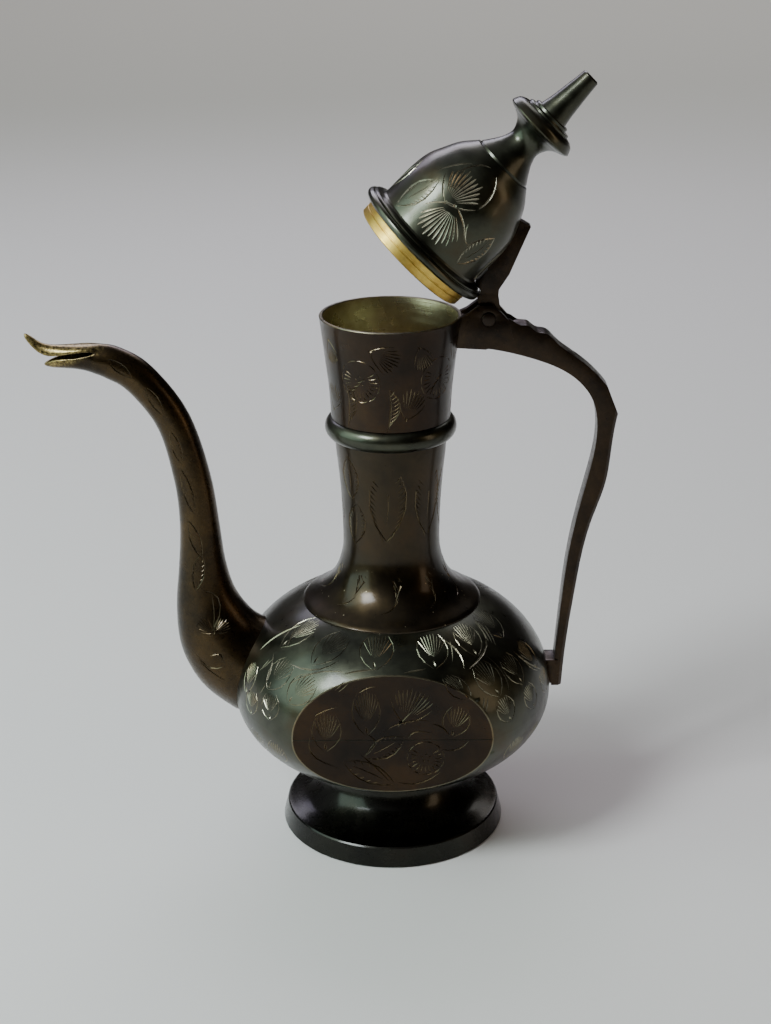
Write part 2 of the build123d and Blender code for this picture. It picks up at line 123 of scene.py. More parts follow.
def times_plus(tree, value, factor, addend):
    """value * factor + addend."""
    return add_node(tree, "ShaderNodeMath", {"operation": "MULTIPLY_ADD"}, i0=value, i1=factor,
                    i2=addend).outputs["Value"]


def ramp(tree, factor, stops):
    """A colour ramp from a list of (position, colour)."""
    new = add_node(tree, "ShaderNodeValToRGB", Fac=factor)
    elements = new.color_ramp.elements
    while len(elements) < len(stops):
        elements.new(0.5)
    for element, (position, colour) in zip(elements, stops):
        element.position = position
        element.color = colour
    return new.outputs["Color"]


def grey(value):
    """A grey as a ramp colour."""
    return [value, value, value, 1.0]


def blank_material(name):
    """A material with only its output and a Principled shader."""
    material = bpy.data.materials.new(name)
    material.use_nodes = True
    tree = material.node_tree
    tree.nodes.clear()
    shader = tree.nodes.new("ShaderNodeBsdfPrincipled")
    output = tree.nodes.new("ShaderNodeOutputMaterial")
    tree.links.new(shader.outputs["BSDF"], output.inputs["Surface"])
    return material, tree, shader


def finish_metal(tree, shader, colour, rough, coat, coat_rough):
    """Metal with a colour and a roughness, under a thin lacquer."""
    tree.links.new(colour, shader.inputs["Base Color"])
    tree.links.new(rough, shader.inputs["Roughness"])
    for name, value in (("Metallic", 1.0), ("Coat Weight", coat), ("Coat Roughness", coat_rough)):
        shader.inputs[name].default_value = value


def emboss(tree, shader, height, strength, depth):
    """Fine relief from a height value, as deep as depth in metres."""
    bump = add_node(tree, "ShaderNodeBump", Strength=strength, Distance=depth, Height=height)
    tree.links.new(bump.outputs["Normal"], shader.inputs["Normal"])


def object_point(tree, turn_y=0.0):
    """Object coordinates, turned back about Y for pieces that stand tilted."""
    place = add_node(tree, "ShaderNodeTexCoord")
    mapping = add_node(tree, "ShaderNodeMapping", Vector=place.outputs["Object"])
    mapping.inputs["Rotation"].default_value = (0.0, turn_y, 0.0)
    return mapping.outputs["Vector"]


# %% [markdown]
# ## Dark patina on turned brass
# The outside of the pot is brass darkened with a chemical bronzing bath, polished on the
# lathe and lacquered. It reads as a near-black olive metal: the reflections are weak, but sharp
# enough to show the lathe's fine rings. Where hands and cloths rub, the brown is thinner
# and warmer. The ring spacing is about 0.4 mm, drawn a little coarse so that it shows.

# %% Patina material
def turned_patina(name, turn_y=0.0, dark="#23241d", light="#434437", warm="#463c29",
                  roughness=(0.26, 0.42), ring_depth=0.25, dust=0.0):
    """Bronzed brass with lathe rings round the piece's own axis."""
    material, tree, shader = blank_material(name)
    point = object_point(tree, turn_y)
    split = add_node(tree, "ShaderNodeSeparateXYZ", Vector=point)
    height = add_node(tree, "ShaderNodeCombineXYZ", Z=split.outputs["Z"])
    rings = noise(tree, height.outputs["Vector"], 2400.0, 3.0, 0.65)
    blotch = noise(tree, point, 38.0, 6.0, 0.6)
    smear = noise(tree, point, 170.0, 5.0, 0.7)
    tone = ramp(tree, blotch, [(0.32, linear(dark)), (0.55, linear(light)), (0.74, linear(warm))])
    dulled = add_node(tree, "ShaderNodeMix", {"data_type": "RGBA", "blend_type": "MULTIPLY"},
                      Factor=0.55, i6=tone, i7=ramp(tree, smear, [(0.3, grey(0.62)), (0.7, grey(1.0))]))
    colour = dulled.outputs[2]
    if dust:
        specks = add_node(tree, "ShaderNodeTexVoronoi", Vector=point, Scale=330.0, Randomness=1.0)
        low = add_node(tree, "ShaderNodeMapRange", Value=split.outputs["Z"], i1=0.116, i2=0.101, i3=0.0,
                       i4=dust)
        near = ramp(tree, specks.outputs["Distance"], [(0.05, grey(1.0)), (0.10, grey(0.0))])
        dot = add_node(tree, "ShaderNodeMath", {"operation": "MULTIPLY"}, i0=near,
                       i1=low.outputs["Result"]).outputs["Value"]
        colour = add_node(tree, "ShaderNodeMix", {"data_type": "RGBA"}, Factor=dot, i6=colour,
                          i7=linear("#b9ab8c")).outputs[2]
    rough = ramp(tree, smear, [(0.3, grey(roughness[0])), (0.7, grey(roughness[1]))])
    finish_metal(tree, shader, colour, rough, 0.35, 0.16)
    emboss(tree, shader, times_plus(tree, rings, ring_depth, smear), 0.35, 0.06 * MM)
    return material


# %% [markdown]
# ## Bare turned brass
# The inside of the mouth and the spigot under the lid were turned last, after the bronzing,
# and never coloured. They are yellow brass with plain lathe rings, dulled by handling into
# greenish and brown clouds.

# %% Bare brass material
def bare_brass(name, turn_y=0.0, lit_cut_index="#c7a050", dull="#7d6430", roughness=(0.26, 0.5), brushed=0.0):
    """Yellow brass straight from the lathe, lightly tarnished."""
    material, tree, shader = blank_material(name)
    point = object_point(tree, turn_y)
    split = add_node(tree, "ShaderNodeSeparateXYZ", Vector=point)
    height = add_node(tree, "ShaderNodeCombineXYZ", Z=split.outputs["Z"])
    rings = noise(tree, height.outputs["Vector"], 1500.0, 4.0, 0.7)
    clouds = noise(tree, point, 90.0, 6.0, 0.65)
    mixed = times_plus(tree, rings, 0.35, clouds)
    tone = ramp(tree, mixed, [(0.45, linear(dull)), (0.8, linear(lit_cut_index))])
    rough = ramp(tree, clouds, [(0.3, grey(roughness[1])), (0.7, grey(roughness[0]))])
    finish_metal(tree, shader, tone, rough, 0.0, 0.03)
    if brushed:
        around = add_node(tree, "ShaderNodeVectorMath", {"operation": "CROSS_PRODUCT"}, i0=(0, 0, 1),
                          i1=point)
        tree.links.new(around.outputs["Vector"], shader.inputs["Tangent"])
        shader.inputs["Anisotropic"].default_value = brushed
    emboss(tree, shader, rings, 0.9, 0.12 * MM)
    return material


# %% [markdown]
# ## Sand-cast brass
# The handle, the lid's arm and the spout come from sand moulds. A file and a quick polish
# leave a slightly wavy skin with small pits, and the bronzing is browner than on the
# turned pieces. The spout's beak is worn down to rough bright metal at its tips.

# %% Cast brass material
def cast_patina(name, dark="#2a2318", light="#4b4030", roughness=(0.26, 0.5), worn_beyond=None):
    """Bronzed sand casting; worn_beyond bares the metal past that X, in metres."""
    material, tree, shader = blank_material(name)
    point = object_point(tree)
    sand = noise(tree, point, 900.0, 5.0, 0.75)
    wave = noise(tree, point, 120.0, 4.0, 0.55)
    blotch = noise(tree, point, 60.0, 6.0, 0.7)
    colour = ramp(tree, blotch, [(0.33, linear(dark)), (0.7, linear(light))])
    rough = ramp(tree, sand, [(0.35, grey(roughness[0])), (0.7, grey(roughness[1]))])
    if worn_beyond is not None:
        split = add_node(tree, "ShaderNodeSeparateXYZ", Vector=point)
        low = times_plus(tree, split.outputs["Z"], -2.0, 0.392)
        ahead = add_node(tree, "ShaderNodeMath", {"operation": "ADD"}, i0=split.outputs["X"], i1=low)
        ragged = times_plus(tree, sand, -0.010, ahead.outputs["Value"])
        worn = add_node(tree, "ShaderNodeMapRange", Value=ragged, i1=worn_beyond, i2=worn_beyond - 0.012,
                        i3=0.0, i4=1.0)
        brass = ramp(tree, sand, [(0.35, linear("#40361f")), (0.5, linear("#7d6c40")),
                                  (0.66, linear("#b6a26a"))])
        colour = add_node(tree, "ShaderNodeMix", {"data_type": "RGBA"}, Factor=worn.outputs["Result"],
                          i6=colour, i7=brass).outputs[2]
    finish_metal(tree, shader, colour, rough, 0.25, 0.22)
    emboss(tree, shader, times_plus(tree, sand, 0.25, wave), 0.6, 0.35 * MM)
    return material


brown = {"dark": "#170f08", "light": "#2e2012", "warm": "#412d16"}
rubbed_and_highlight = {"dark": "#4a4534", "light": "#77705a", "warm": "#7a6340"}
patina = turned_patina("bronzed_brass_polished")
patina_brown = turned_patina("bronzed_brass_brown", **brown)
patina_dusty = turned_patina("bronzed_brass_dusty", dust=0.9, dark="#1c160d", light="#342a1a",
                             warm="#3f301c")
# The foot's darker copy of the patina is painted shade: the foot stands in the shadow of the body.
patina_foot_shaded = turned_patina("bronzed_brass_foot", dark="#161612", light="#27261f", warm="#2b2319",
                            roughness=(0.2, 0.34))
patina_lid = turned_patina("bronzed_brass_lid", turn_y=-rest_angle)
# The rubbed finish is lighter than the patina. On the flats' rim it is partly real rubbing and partly a
# painted highlight for the thin reflected line there.
patina_rubbed_and_highlight = turned_patina("bronzed_brass_rubbed_edge", **rubbed_and_highlight)
graver_cut = turned_patina("bronzed_brass_graver_cut", dark="#4f4c3f", light="#8d8872", warm="#7f6f50",
                           roughness=(0.24, 0.32), ring_depth=0.0)
# This darker brown cut finish also stands in the grooves of the flats, where it is painted shade.
graver_cut_brown = turned_patina("bronzed_brass_graver_brown", dark="#2a2014", light="#5a4d36",
                                 warm="#4e3a22",
                                 roughness=(0.24, 0.34), ring_depth=0.0)
# The dome's grooves take a still lighter copy of the cut finish: painted highlight, as if the light caught
# every stroke there.
graver_cut_dome_highlight = turned_patina("bronzed_brass_graver_dome", dark="#6a6757", light="#bdb7a0",
                                warm="#a08f6c",
                                roughness=(0.24, 0.34), ring_depth=0.0)
brass_mouth = bare_brass("turned_brass_mouth", lit_cut_index="#b3a988", dull="#8a7f62", roughness=(0.22, 0.36),
                         brushed=0.75)
brass_spigot = bare_brass("turned_brass_spigot", turn_y=-rest_angle, lit_cut_index="#d9bb62", dull="#9d7329")
cast_handle = cast_patina("cast_brass_handle", dark="#1f1710", light="#3e2e1d")
cast_spout = cast_patina("cast_brass_spout", dark="#261d10", light="#4b3a20", roughness=(0.24, 0.42),
                         worn_beyond=-0.114)
pin_metal = turned_patina("drawn_brass_pin", **brown)
print("materials:", len(bpy.data.materials))

# %% [markdown]
# ## Turning on the lathe
# Most pieces of this pot came off a lathe, so they are made the same way: an outline in the
# plane y = 0 is spun about the axis. A curve through a few chosen points gives the flowing
# parts of the outline, and sharp steps stay as single points.

# %% Lathe helpers
SEGMENTS = 168


def triangles(mesh):
    """How many triangles a mesh has."""
    return sum(len(polygon.vertices) - 2 for polygon in mesh.polygons)


def between(p, q, r, s, t):
    """The value a share t of the way from q to r on a smooth curve through p, q, r and s."""
    return 0.5 * (2 * q + (r - p) * t + (2 * p - 5 * q + 4 * r - s) * t * t
                  + (3 * q - p - 3 * r + s) * t ** 3)


def flowing(points, steps=7):
    """Points on one smooth curve through the given points."""
    path = [Vector(p) for p in points]
    path = [2 * path[0] - path[1]] + path + [2 * path[-1] - path[-2]]
    curve = [between(*four, step / steps) for four in zip(path, path[1:], path[2:], path[3:])
             for step in range(steps)]
    return [tuple(p) for p in curve] + [tuple(path[-2])]


def spun(outline, segments=SEGMENTS):
    """A closed outline of (radius, height) in millimetres, spun about Z."""
    bm = bmesh.new()
    verts = [bm.verts.new((radius * MM, 0.0, height * MM)) for radius, height in outline]
    edges = [bm.edges.new(pair) for pair in zip(verts, verts[1:] + verts[:1])]
    bmesh.ops.spin(bm, geom=verts + edges, cent=(0, 0, 0), axis=(0, 0, 1), angle=2 * pi,
                   steps=segments, use_merge=True)
    bmesh.ops.remove_doubles(bm, verts=bm.verts, dist=2e-6)
    loose = [edge for edge in bm.edges if not edge.link_faces]
    bmesh.ops.delete(bm, geom=loose, context="EDGES")
    bmesh.ops.recalc_face_normals(bm, faces=bm.faces)
    return bm


def settle(name, bm, materials, body, slot, *nodes, sharp=28):
    """Make the mesh an object, give it its finish, and let it stand for its CAD nodes."""
    mesh = bpy.data.meshes.new(name)
    bm.to_mesh(mesh)
    bm.free()
    piece = bpy.data.objects.new(name, mesh)
    bpy.context.scene.collection.objects.link(piece)
    for material in materials:
        mesh.materials.append(material)
    mesh.shade_smooth()
    mesh.set_sharp_from_angle(angle=radians(sharp))
    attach(piece, body)
    if nodes:
        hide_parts(*nodes)
    print(name, "triangles:", triangles(mesh))
    return piece


def paint(bm, index, chosen):
    """Give a material index to the faces that a test picks."""
    for face in bm.faces:
        if chosen(face.calc_center_median() / MM, face.normal):
            face.material_index = index


# %% [markdown]
# ## The graver
# A bright-cut line is a V groove that swells and dies out. Each stroke here is a slim wedge
# with a triangular section, laid along the surface and cut out of it with a Boolean. All
# wedges grow at once: one triangle per stroke is extruded from station to station. Strokes
# that would cross are kept in different rounds, because one cutter may not overlap itself.

# %% Strokes and their rounds
STATIONS = 6
rng = random.Random(7)
WIDTHS = {
    "blade": [0.10, 0.72, 1.0, 0.92, 0.62, 0.10],
    "wedge": [0.12, 0.35, 0.6, 0.85, 1.0, 0.35],
    "plain": [0.45, 1.0, 1.0, 1.0, 1.0, 0.45],
}


def stroke(start, end, bend=0.0, width=0.5, shape="blade", group=0):
    """A stroke in a flat motif: from start to end, bent sideways by a share of its length."""
    start, end = Vector(start), Vector(end)
    side = Vector((end.y - start.y, start.x - end.x))
    points = []
    for step in range(STATIONS):
        t = step / (STATIONS - 1)
        points.append(start.lerp(end, t) + side * bend * 4 * t * (1 - t))
    return {"points": points, "width": width, "shape": shape, "group": group}


def fan(length, width, rays=11, bold=0.5, foot=0.3, edges=True):
    """A fan leaf: rays that open from its foot, two bowed edges and a small bud at the foot."""
    strokes = []
    for ray in range(rays):
        share = (ray + 0.5) / rays * 2 - 1
        start = (0.15 * width * share, length * (foot + 0.07 * abs(share)))
        end = (0.46 * width * share, length * (0.97 - 0.27 * share * share) * rng.uniform(0.95, 1.03))
        strokes.append(stroke(start, end, 0.03 * share, bold, "wedge"))
    if edges:
        for side in (-1, 1):
            bow = side * 0.34 * width / length
            strokes.append(stroke((0.03 * width * side, 0), (0.27 * width * side, 0.94 * length), bow,
                                  bold * 0.9, "blade", 1))
    strokes.append(stroke((0.02 * width, 0.05 * length), (-0.03 * width, 0.2 * length), 0.0, bold * 1.7,
                          "blade", 2))
    return strokes


def open_fan(length, spread, rays=10, bold=0.8, foot=0.26):
    """A wide fan of bold wedges, with a broken edge line behind it."""
    strokes = []
    for ray in range(rays):
        share = (ray + 0.5) / rays * 2 - 1
        turn = radians(spread) * 0.5 * share
        out = Vector((sin(turn), cos(turn)))
        reach = length * (1.0 - 0.12 * share * share) * rng.uniform(0.92, 1.04)
        strokes.append(stroke(out * length * (foot + 0.08 * abs(share)), out * reach, 0.02 * share, bold,
                              "wedge"))
    for side in (-1, 1):
        turn = radians(spread) * 0.5 * side
        out = Vector((sin(turn * 1.2), cos(turn * 1.2)))
        strokes.append(stroke((0, 0), out * length * 0.8, side * 0.08, bold * 0.7, "blade", 1))
    strokes.append(stroke((0.3, -0.4), (-0.3, 1.0), 0.0, bold * 1.4, "blade", 2))
    return strokes


def leaf(length, width, hatches=7, bold=0.45, sides=(-1, 1), vein=True):
    """A pointed leaf: two bowed edges, a vein, and short slanting cuts along its sides."""
    strokes = [stroke((0, 0), (0, length), 0.5 * width / length, bold, "blade", 1),
               stroke((0.02 * width, 0), (0.02 * width, length), -0.5 * width / length, bold, "blade", 2)]
    if vein:
        strokes.append(stroke((0, 0.2 * length), (0, 0.8 * length), 0.02, bold * 0.8, "blade", 3))
    for side in sides:
        for cut in range(hatches):
            t = (cut + 1.0) / (hatches + 1.4)
            edge = side * 0.5 * width * 4 * t * (1 - t)
            strokes.append(stroke((edge * 0.55, length * (t - 0.07)), (edge * 0.93, length * (t + 0.01)),
                                  0.04 * side, bold * 0.8, "wedge"))
    return strokes


def feather(length, width, hatches=9, bold=0.5, side=1):
    """A half leaf: one long spine, a saw-toothed edge opposite and slanting cuts between."""
    strokes = [stroke((0, -0.22 * length), (0, length), 0.05 * side, bold * 1.2, "blade", 1)]
    for cut in range(hatches):
        t = (cut + 0.8) / (hatches + 0.6)
        edge = side * width * (4 * t * (1 - t)) ** 0.7
        strokes.append(stroke((edge * 0.25, length * (t - 0.10)), (edge, length * (t + 0.05)), 0.05 * side,
                              bold, "wedge"))
    strokes.append(stroke((side * 0.4, 0.02 * length), (side * 0.3, 0.99 * length),
                          side * 1.02 * width / length,
                          bold * 0.7, "plain", 2))
    return strokes


def flower(radius, rays=22, bold=0.4):
    """A round flower: an edge of short arcs, rays round its lower side, and a small stippled heart."""
    strokes = []
    for ray in range(rays):
        turn = 2 * pi * ray / rays
        if 0.2 * pi < turn < 0.8 * pi:
            continue
        out = Vector((cos(turn), sin(turn)))
        strokes.append(stroke(out * radius * 0.48, out * radius * rng.uniform(0.84, 0.92), 0.02, bold,
                              "wedge"))
    petals = 11
    for petal in range(petals):
        turn = 2 * pi * petal / petals
        a = Vector((cos(turn), sin(turn))) * radius
        turn += 2 * pi / petals * 0.86
        b = Vector((cos(turn), sin(turn))) * radius
        strokes.append(stroke(a, b, 0.10, bold, "blade", 1))
    for dot in range(5):
        turn = 2 * pi * dot / 5 + 0.3
        at = Vector((cos(turn), sin(turn))) * radius * 0.22
        strokes.append(stroke(at, at + Vector((0.35, 0.35)), 0.0, bold * 1.4, "blade", 1))
    return strokes


# %% [markdown]
# ### Laying a motif on a curved wall
# A motif is flat. It is carried to the wall with two points, its foot and its tip: the flat
# motif is stood in the plane that touches the wall there, and each station is then dropped
# to the nearest place on the wall, so the cut follows the curve.

# %% Laying helpers
def skin_of(piece):
    """A search tree of a piece's surface."""
    return BVHTree.FromObject(piece, bpy.context.evaluated_depsgraph_get())


def round_wall(skin, azimuth, height, side=1):
    """The point of the wall at an azimuth in degrees, mirrored for side -1, and a height in millimetres."""
    turn = radians(side * azimuth)
    out = Vector((cos(turn), sin(turn), 0.0))
    origin = out * 0.2 + Vector((0, 0, height * MM))
    return skin.ray_cast(origin, -out)[:2]


def side_wall(skin, x, z, side=-1):
    """The point of a wall seen from the front (side -1) or the back (side 1)."""
    origin = Vector((x * MM, side * 0.2, z * MM))
    return skin.ray_cast(origin, Vector((0, -side, 0)))[:2]


def lay(cuts, skin, foot, tip, strokes):
    """Carry a flat motif, drawn from (0, 0) upwards, to the wall between foot and tip."""
    (base, normal), (top, _) = foot, tip
    up = (top - base).normalized()
    up = (up - normal * up.dot(normal)).normalized()
    right = up.cross(normal)
    for one in strokes:
        stations = []
        for point in one["points"]:
            target = base + (right * point.x + up * point.y) * MM
            place, slope, _, _ = skin.find_nearest(target)
            stations.append((place, slope))
        cuts.append({**one, "stations": stations})


def lay_row(cuts, skin, wall, side, row, draw):
    """Lay a motif at each spot of a row: its foot and tip places, then what its drawing needs."""
    for spot in row:
        foot, tip = wall(skin, *spot[:2], side), wall(skin, *spot[2:4], side)
        lay(cuts, skin, foot, tip, draw((tip[0] - foot[0]).length / MM, *spot[4:]))


def trail(cuts, skin, wall, side, places, width=0.6, group=4):
    """A stem: one long stroke that bends through three places on the wall."""
    first, middle, last = (wall(skin, *place, side)[0] for place in places)
    stations = []
    for step in range(STATIONS):
        t = step / (STATIONS - 1)
        target = first * (1 - t) * (1 - 2 * t) + middle * 4 * t * (1 - t) + last * t * (2 * t - 1)
        place, slope, _, _ = skin.find_nearest(target)
        stations.append((place, slope))
    cuts.append({"stations": stations, "width": width, "shape": "blade", "group": group})


# %% [markdown]
# ### Growing and applying the cutters
# The section of a cutter is a triangle: two corners stand a little above the wall and one
# lies below it. The depth is a little over a third of the width, as a 105 degree graver leaves it.

# %% Cutter meshes and the cut
LIFT = 0.12
DEPTH = 0.38
RUBBED_AND_HIGHLIGHT = 2
SKIN_GAP = 4e-6


def cutter_object(name, cuts):
    """One mesh of wedges, all extruded together from station to station."""
    bm = bmesh.new()
    which = bm.faces.layers.int.new("stroke")
    corner = bm.verts.layers.int.new("corner")

    def sections(step):
        for index, cut in enumerate(cuts):
            place, normal = cut["stations"][step]
            before = cut["stations"][max(step - 1, 0)][0]
            after = cut["stations"][min(step + 1, STATIONS - 1)][0]
            side = (after - before).cross(normal).normalized()
            half = 0.5 * cut["width"] * WIDTHS[cut["shape"]][step]
            depth = DEPTH * cut["width"] * WIDTHS[cut["shape"]][step]
            spread = half * (depth + LIFT) / depth
            lift = normal * LIFT * MM
            yield index, (place + side * spread * MM + lift, place - side * spread * MM + lift,
                          place - normal * depth * MM)

    for index, corners in sections(0):
        verts = [bm.verts.new(co) for co in corners]
        for number, vert in enumerate(verts):
            vert[corner] = number
        bm.faces.new(verts)[which] = index
    faces = list(bm.faces)
    for step in range(1, STATIONS):
        faces = bmesh.ops.extrude_discrete_faces(bm, faces=faces)["faces"]
        by_stroke = {face[which]: face for face in faces}
        for index, corners in sections(step):
            for vert in by_stroke[index].verts:
                vert.co = corners[vert[corner]]
    bmesh.ops.holes_fill(bm, edges=[edge for edge in bm.edges if edge.is_boundary], sides=3)
    bmesh.ops.triangulate(bm, faces=bm.faces)
    bmesh.ops.recalc_face_normals(bm, faces=bm.faces)
    mesh = bpy.data.meshes.new(name)
    bm.to_mesh(mesh)
    bm.free()
    tool = bpy.data.objects.new(name, mesh)
    bpy.context.scene.collection.objects.link(tool)
    return tool


def engrave(piece, cuts, cut_material):
    """Cut every stroke out of a piece, round by round, and keep the wall's own shading."""
    bm = bmesh.new()
    bm.from_mesh(piece.data)
    bmesh.ops.triangulate(bm, faces=bm.faces)
    bm.to_mesh(piece.data)
    bm.free()
    skin_mesh = piece.data
    skin = skin_of(piece)
    corner_normals = [Vector(corner.vector) for corner in skin_mesh.corner_normals]
    face_loops = [(list(face.loop_indices), list(face.vertices)) for face in skin_mesh.polygons]
    skin_points = [vert.co.copy() for vert in skin_mesh.vertices]
    tools = []
    for group in sorted({cut["group"] for cut in cuts}):
        tool = cutter_object(f"{piece.name}_cutter_{group}", [cut for cut in cuts if cut["group"] == group])
        tool.data.materials.append(cut_material)
        modifier = piece.modifiers.new(f"cut_{group}", "BOOLEAN")
        modifier.operation = "DIFFERENCE"
        modifier.solver = "MANIFOLD"
        modifier.object = tool
        tools.append(tool)
    graph = bpy.context.evaluated_depsgraph_get()
    cut_mesh = bpy.data.meshes.new_from_object(piece.evaluated_get(graph))
    piece.modifiers.clear()
    piece.data = cut_mesh
    for tool in tools:
        bpy.data.objects.remove(tool)
    if cut_material.name not in [m.name for m in cut_mesh.materials if m]:
        cut_mesh.materials.append(cut_material)
    cut_index = [m.name for m in cut_mesh.materials].index(cut_material.name)
    keep_shading(cut_mesh, skin, cut_index, corner_normals, face_loops, skin_points)
    print(piece.name, "strokes:", len(cuts), "triangles:", triangles(cut_mesh))


def keep_shading(mesh, skin, cut_index, corner_normals, face_loops, skin_points):
    """Normals of the uncut wall for what is left of it; flat normals inside the cuts."""
    normals = [None] * len(mesh.loops)
    for face in mesh.polygons:
        middle = face.center
        _, slope, _, distance = skin.find_nearest(middle)
        likeness = 0.3 if face.material_index == RUBBED_AND_HIGHLIGHT else 0.8
        on_wall = distance is not None and distance < SKIN_GAP and slope.dot(face.normal) > likeness
        if not on_wall:
            face.material_index = cut_index
            for loop in face.loop_indices:
                normals[loop] = face.normal.copy()
            continue
        for loop in face.loop_indices:
            point = mesh.vertices[mesh.loops[loop].vertex_index].co
            inward = point.lerp(middle, 0.02)
            _, _, source, _ = skin.find_nearest(inward)
            loops, verts = face_loops[source]
            weights = [1.0 / ((skin_points[v] - point).length + 1e-7) ** 2 for v in verts]
            total = Vector((0, 0, 0))
            for weight, source_loop in zip(weights, loops):
                total += corner_normals[source_loop] * weight
            normals[loop] = total.normalized()
    mesh.normals_split_custom_set(normals)


# %% [markdown]
# ## The foot
# A turned pedestal: an almost upright band at the table, a small step, and a hollow curve
# up to a throat that is brazed to the body. It is the darkest and glossiest piece; its darker colour is
# painted shade, as it stands in the body's shadow.

# %% Foot
band_top = 8.0
band_radius = foot_high.x - 1.9
throat = 25.0
throat_height = foot_high.z
foot_outer = [(foot_high.x - 0.5, 0.0), (foot_high.x, 0.5), (band_radius + 0.15, band_top - 0.5),
              (band_radius - 0.35, band_top)]
foot_flare = flowing([(band_radius - 1.0, band_top + 0.1), (34.5, 10.4), (28.2, 15.0), (25.4, 20.5),
                      (throat, throat_height)])
foot_inner = flowing([(throat - 2.2, throat_height), (23.4, 20.0), (26.4, 13.4), (33.0, 8.2), (40.0, 5.8)])
bm = spun(foot_outer + foot_flare + foot_inner + [(foot_high.x - 2.2, 0.0)])
settle("pot_foot", bm, [patina_foot_shaded], "pot", "foot", "foot")

# %% [markdown]
# ## The body
# Two spun halves meet at a brazed seam. Their meridian is a superellipse, a little squarer
# than an ellipse. The front and the back are pressed flat: the mesh is first cut along each
# flat, then everything beyond it is pressed back into its plane, and the new rim is
# softened as years of polishing do.

# %% Body halves
SQUARENESS = 2.08
WALL = 1.8
NECK_BORE = 17.0
TINY = 1e-6


def meridian(rise, inset, sign, last_radius, steps=44):
    """Superellipse points from the equator to a last radius."""
    points = []
    for step in range(steps + 1):
        turn = 0.5 * pi * step / steps
        radius = (body_radius - inset) * cos(turn) ** (2 / SQUARENESS)
        height = seam + sign * (rise - inset) * sin(turn) ** (2 / SQUARENESS)
        if radius < last_radius:
            break
        points.append((radius, height))
    return points


def in_flat(vert):
    """Whether a vertex lies in the plane of one of the two flats."""
    return abs(abs(vert.co.y) - facet * MM) < TINY


def in_seam(vert):
    """Whether a vertex lies on the seam between the two halves."""
    return abs(vert.co.z - seam * MM) < TINY


def is_outer(point):
    """Whether a point lies on the outer surface rather than on the inner wall."""
    radius = Vector((point.x, point.y)).length / MM / body_radius
    rise = upper_rise if point.z / MM > seam else lower_rise
    height = abs(point.z / MM - seam) / rise
    return radius ** SQUARENESS + height ** SQUARENESS > 0.972


def pressed_flat(bm):
    """Cut the shell along both flats, press what stands beyond them, and soften the rim."""
    layer = bm.verts.layers.int.new("outer")
    for vert in bm.verts:
        vert[layer] = int(is_outer(vert.co))
    for side in (-1, 1):
        faces = [f for f in bm.faces if all(v[layer] for v in f.verts)]
        edges = list(dict.fromkeys(e for f in faces for e in f.edges))
        verts = list(dict.fromkeys(v for f in faces for v in f.verts))
        made = bmesh.ops.bisect_plane(bm, geom=faces + edges + verts, plane_co=(0, side * facet * MM, 0),
                                      plane_no=(0, side, 0), dist=1e-7)
        for item in made["geom_cut"]:
            if isinstance(item, bmesh.types.BMVert):
                item[layer] = 1
    for vert in bm.verts:
        limit = (facet if vert[layer] else facet - WALL) * MM
        vert.co.y = max(-limit, min(limit, vert.co.y))
    rim = [v for v in bm.verts if v[layer] and in_flat(v) and not in_seam(v)
           and any(not all(in_flat(w) for w in f.verts) for f in v.link_faces)]
    bmesh.ops.remove_doubles(bm, verts=rim, dist=0.9 * MM)
    rim = [v for v in rim if v.is_valid]
    close = {}
    for vert in rim:
        for edge in vert.link_edges:
            near = edge.other_vert(vert)
            reach = (1.2 if in_flat(near) else 0.5) * MM
            if near not in rim and not in_seam(near) and edge.calc_length() < reach:
                close[near] = vert
    bmesh.ops.weld_verts(bm, targetmap=close)
    bm.normal_update()

    def on_flat(item):
        return all(v[layer] and in_flat(v) for v in item.verts)

    for face in bm.faces:
        if on_flat(face):
            face.material_index = 1
    # The rim's bevel takes the lighter rubbed finish: partly real rubbing, partly a painted highlight along
    # the rim.
    rim_edges = [e for e in bm.edges if on_flat(e) and len(e.link_faces) == 2
                 and e.calc_face_angle(0) > radians(14) and not all(in_seam(v) for v in e.verts)]
    bmesh.ops.bevel(bm, geom=rim_edges, offset=0.3 * MM, offset_type="OFFSET", affect="EDGES", segments=3,
                    profile=0.5, material=RUBBED_AND_HIGHLIGHT)
    seam_edges = [e for e in bm.edges if on_flat(e) and all(in_seam(v) for v in e.verts)]
    bmesh.ops.bevel(bm, geom=seam_edges, offset=0.14 * MM, offset_type="OFFSET", affect="EDGES", segments=1,
                    profile=0.5, material=0)


upper_outer = meridian(upper_rise, 0, 1, NECK_BORE)
upper_inner = meridian(upper_rise, WALL, 1, NECK_BORE)
bm = spun(upper_outer + upper_inner[::-1])
pressed_flat(bm)
body_upper = settle("pot_body_upper", bm, [patina, patina_brown, patina_rubbed_and_highlight], "pot", "body_upper",
                    "body_upper", sharp=32)
lower_outer = meridian(lower_rise, 0, -1, 0.4)
lower_inner = meridian(lower_rise, WALL, -1, 0.4)
bm = spun(lower_outer + [(0.0, seam - lower_rise), (0.0, seam - lower_rise + WALL)] + lower_inner[::-1])
pressed_flat(bm)
body_lower = settle("pot_body_lower", bm, [patina, patina_brown, patina_rubbed_and_highlight], "pot", "body_lower",
                    "body_lower", sharp=32)

# %% [markdown]
# ### Engraving the body
# A ring of fan leaves hangs round the shoulder, with a second, looser row below it and
# curved stems between. Each flat carries its own spray. The front is drawn first and the
# back is its mirror, with the spout and the handle left clear.

# %% Body engraving
upper_skin = skin_of(body_upper)
lower_skin = skin_of(body_lower)
upper_cuts = []
lower_cuts = []
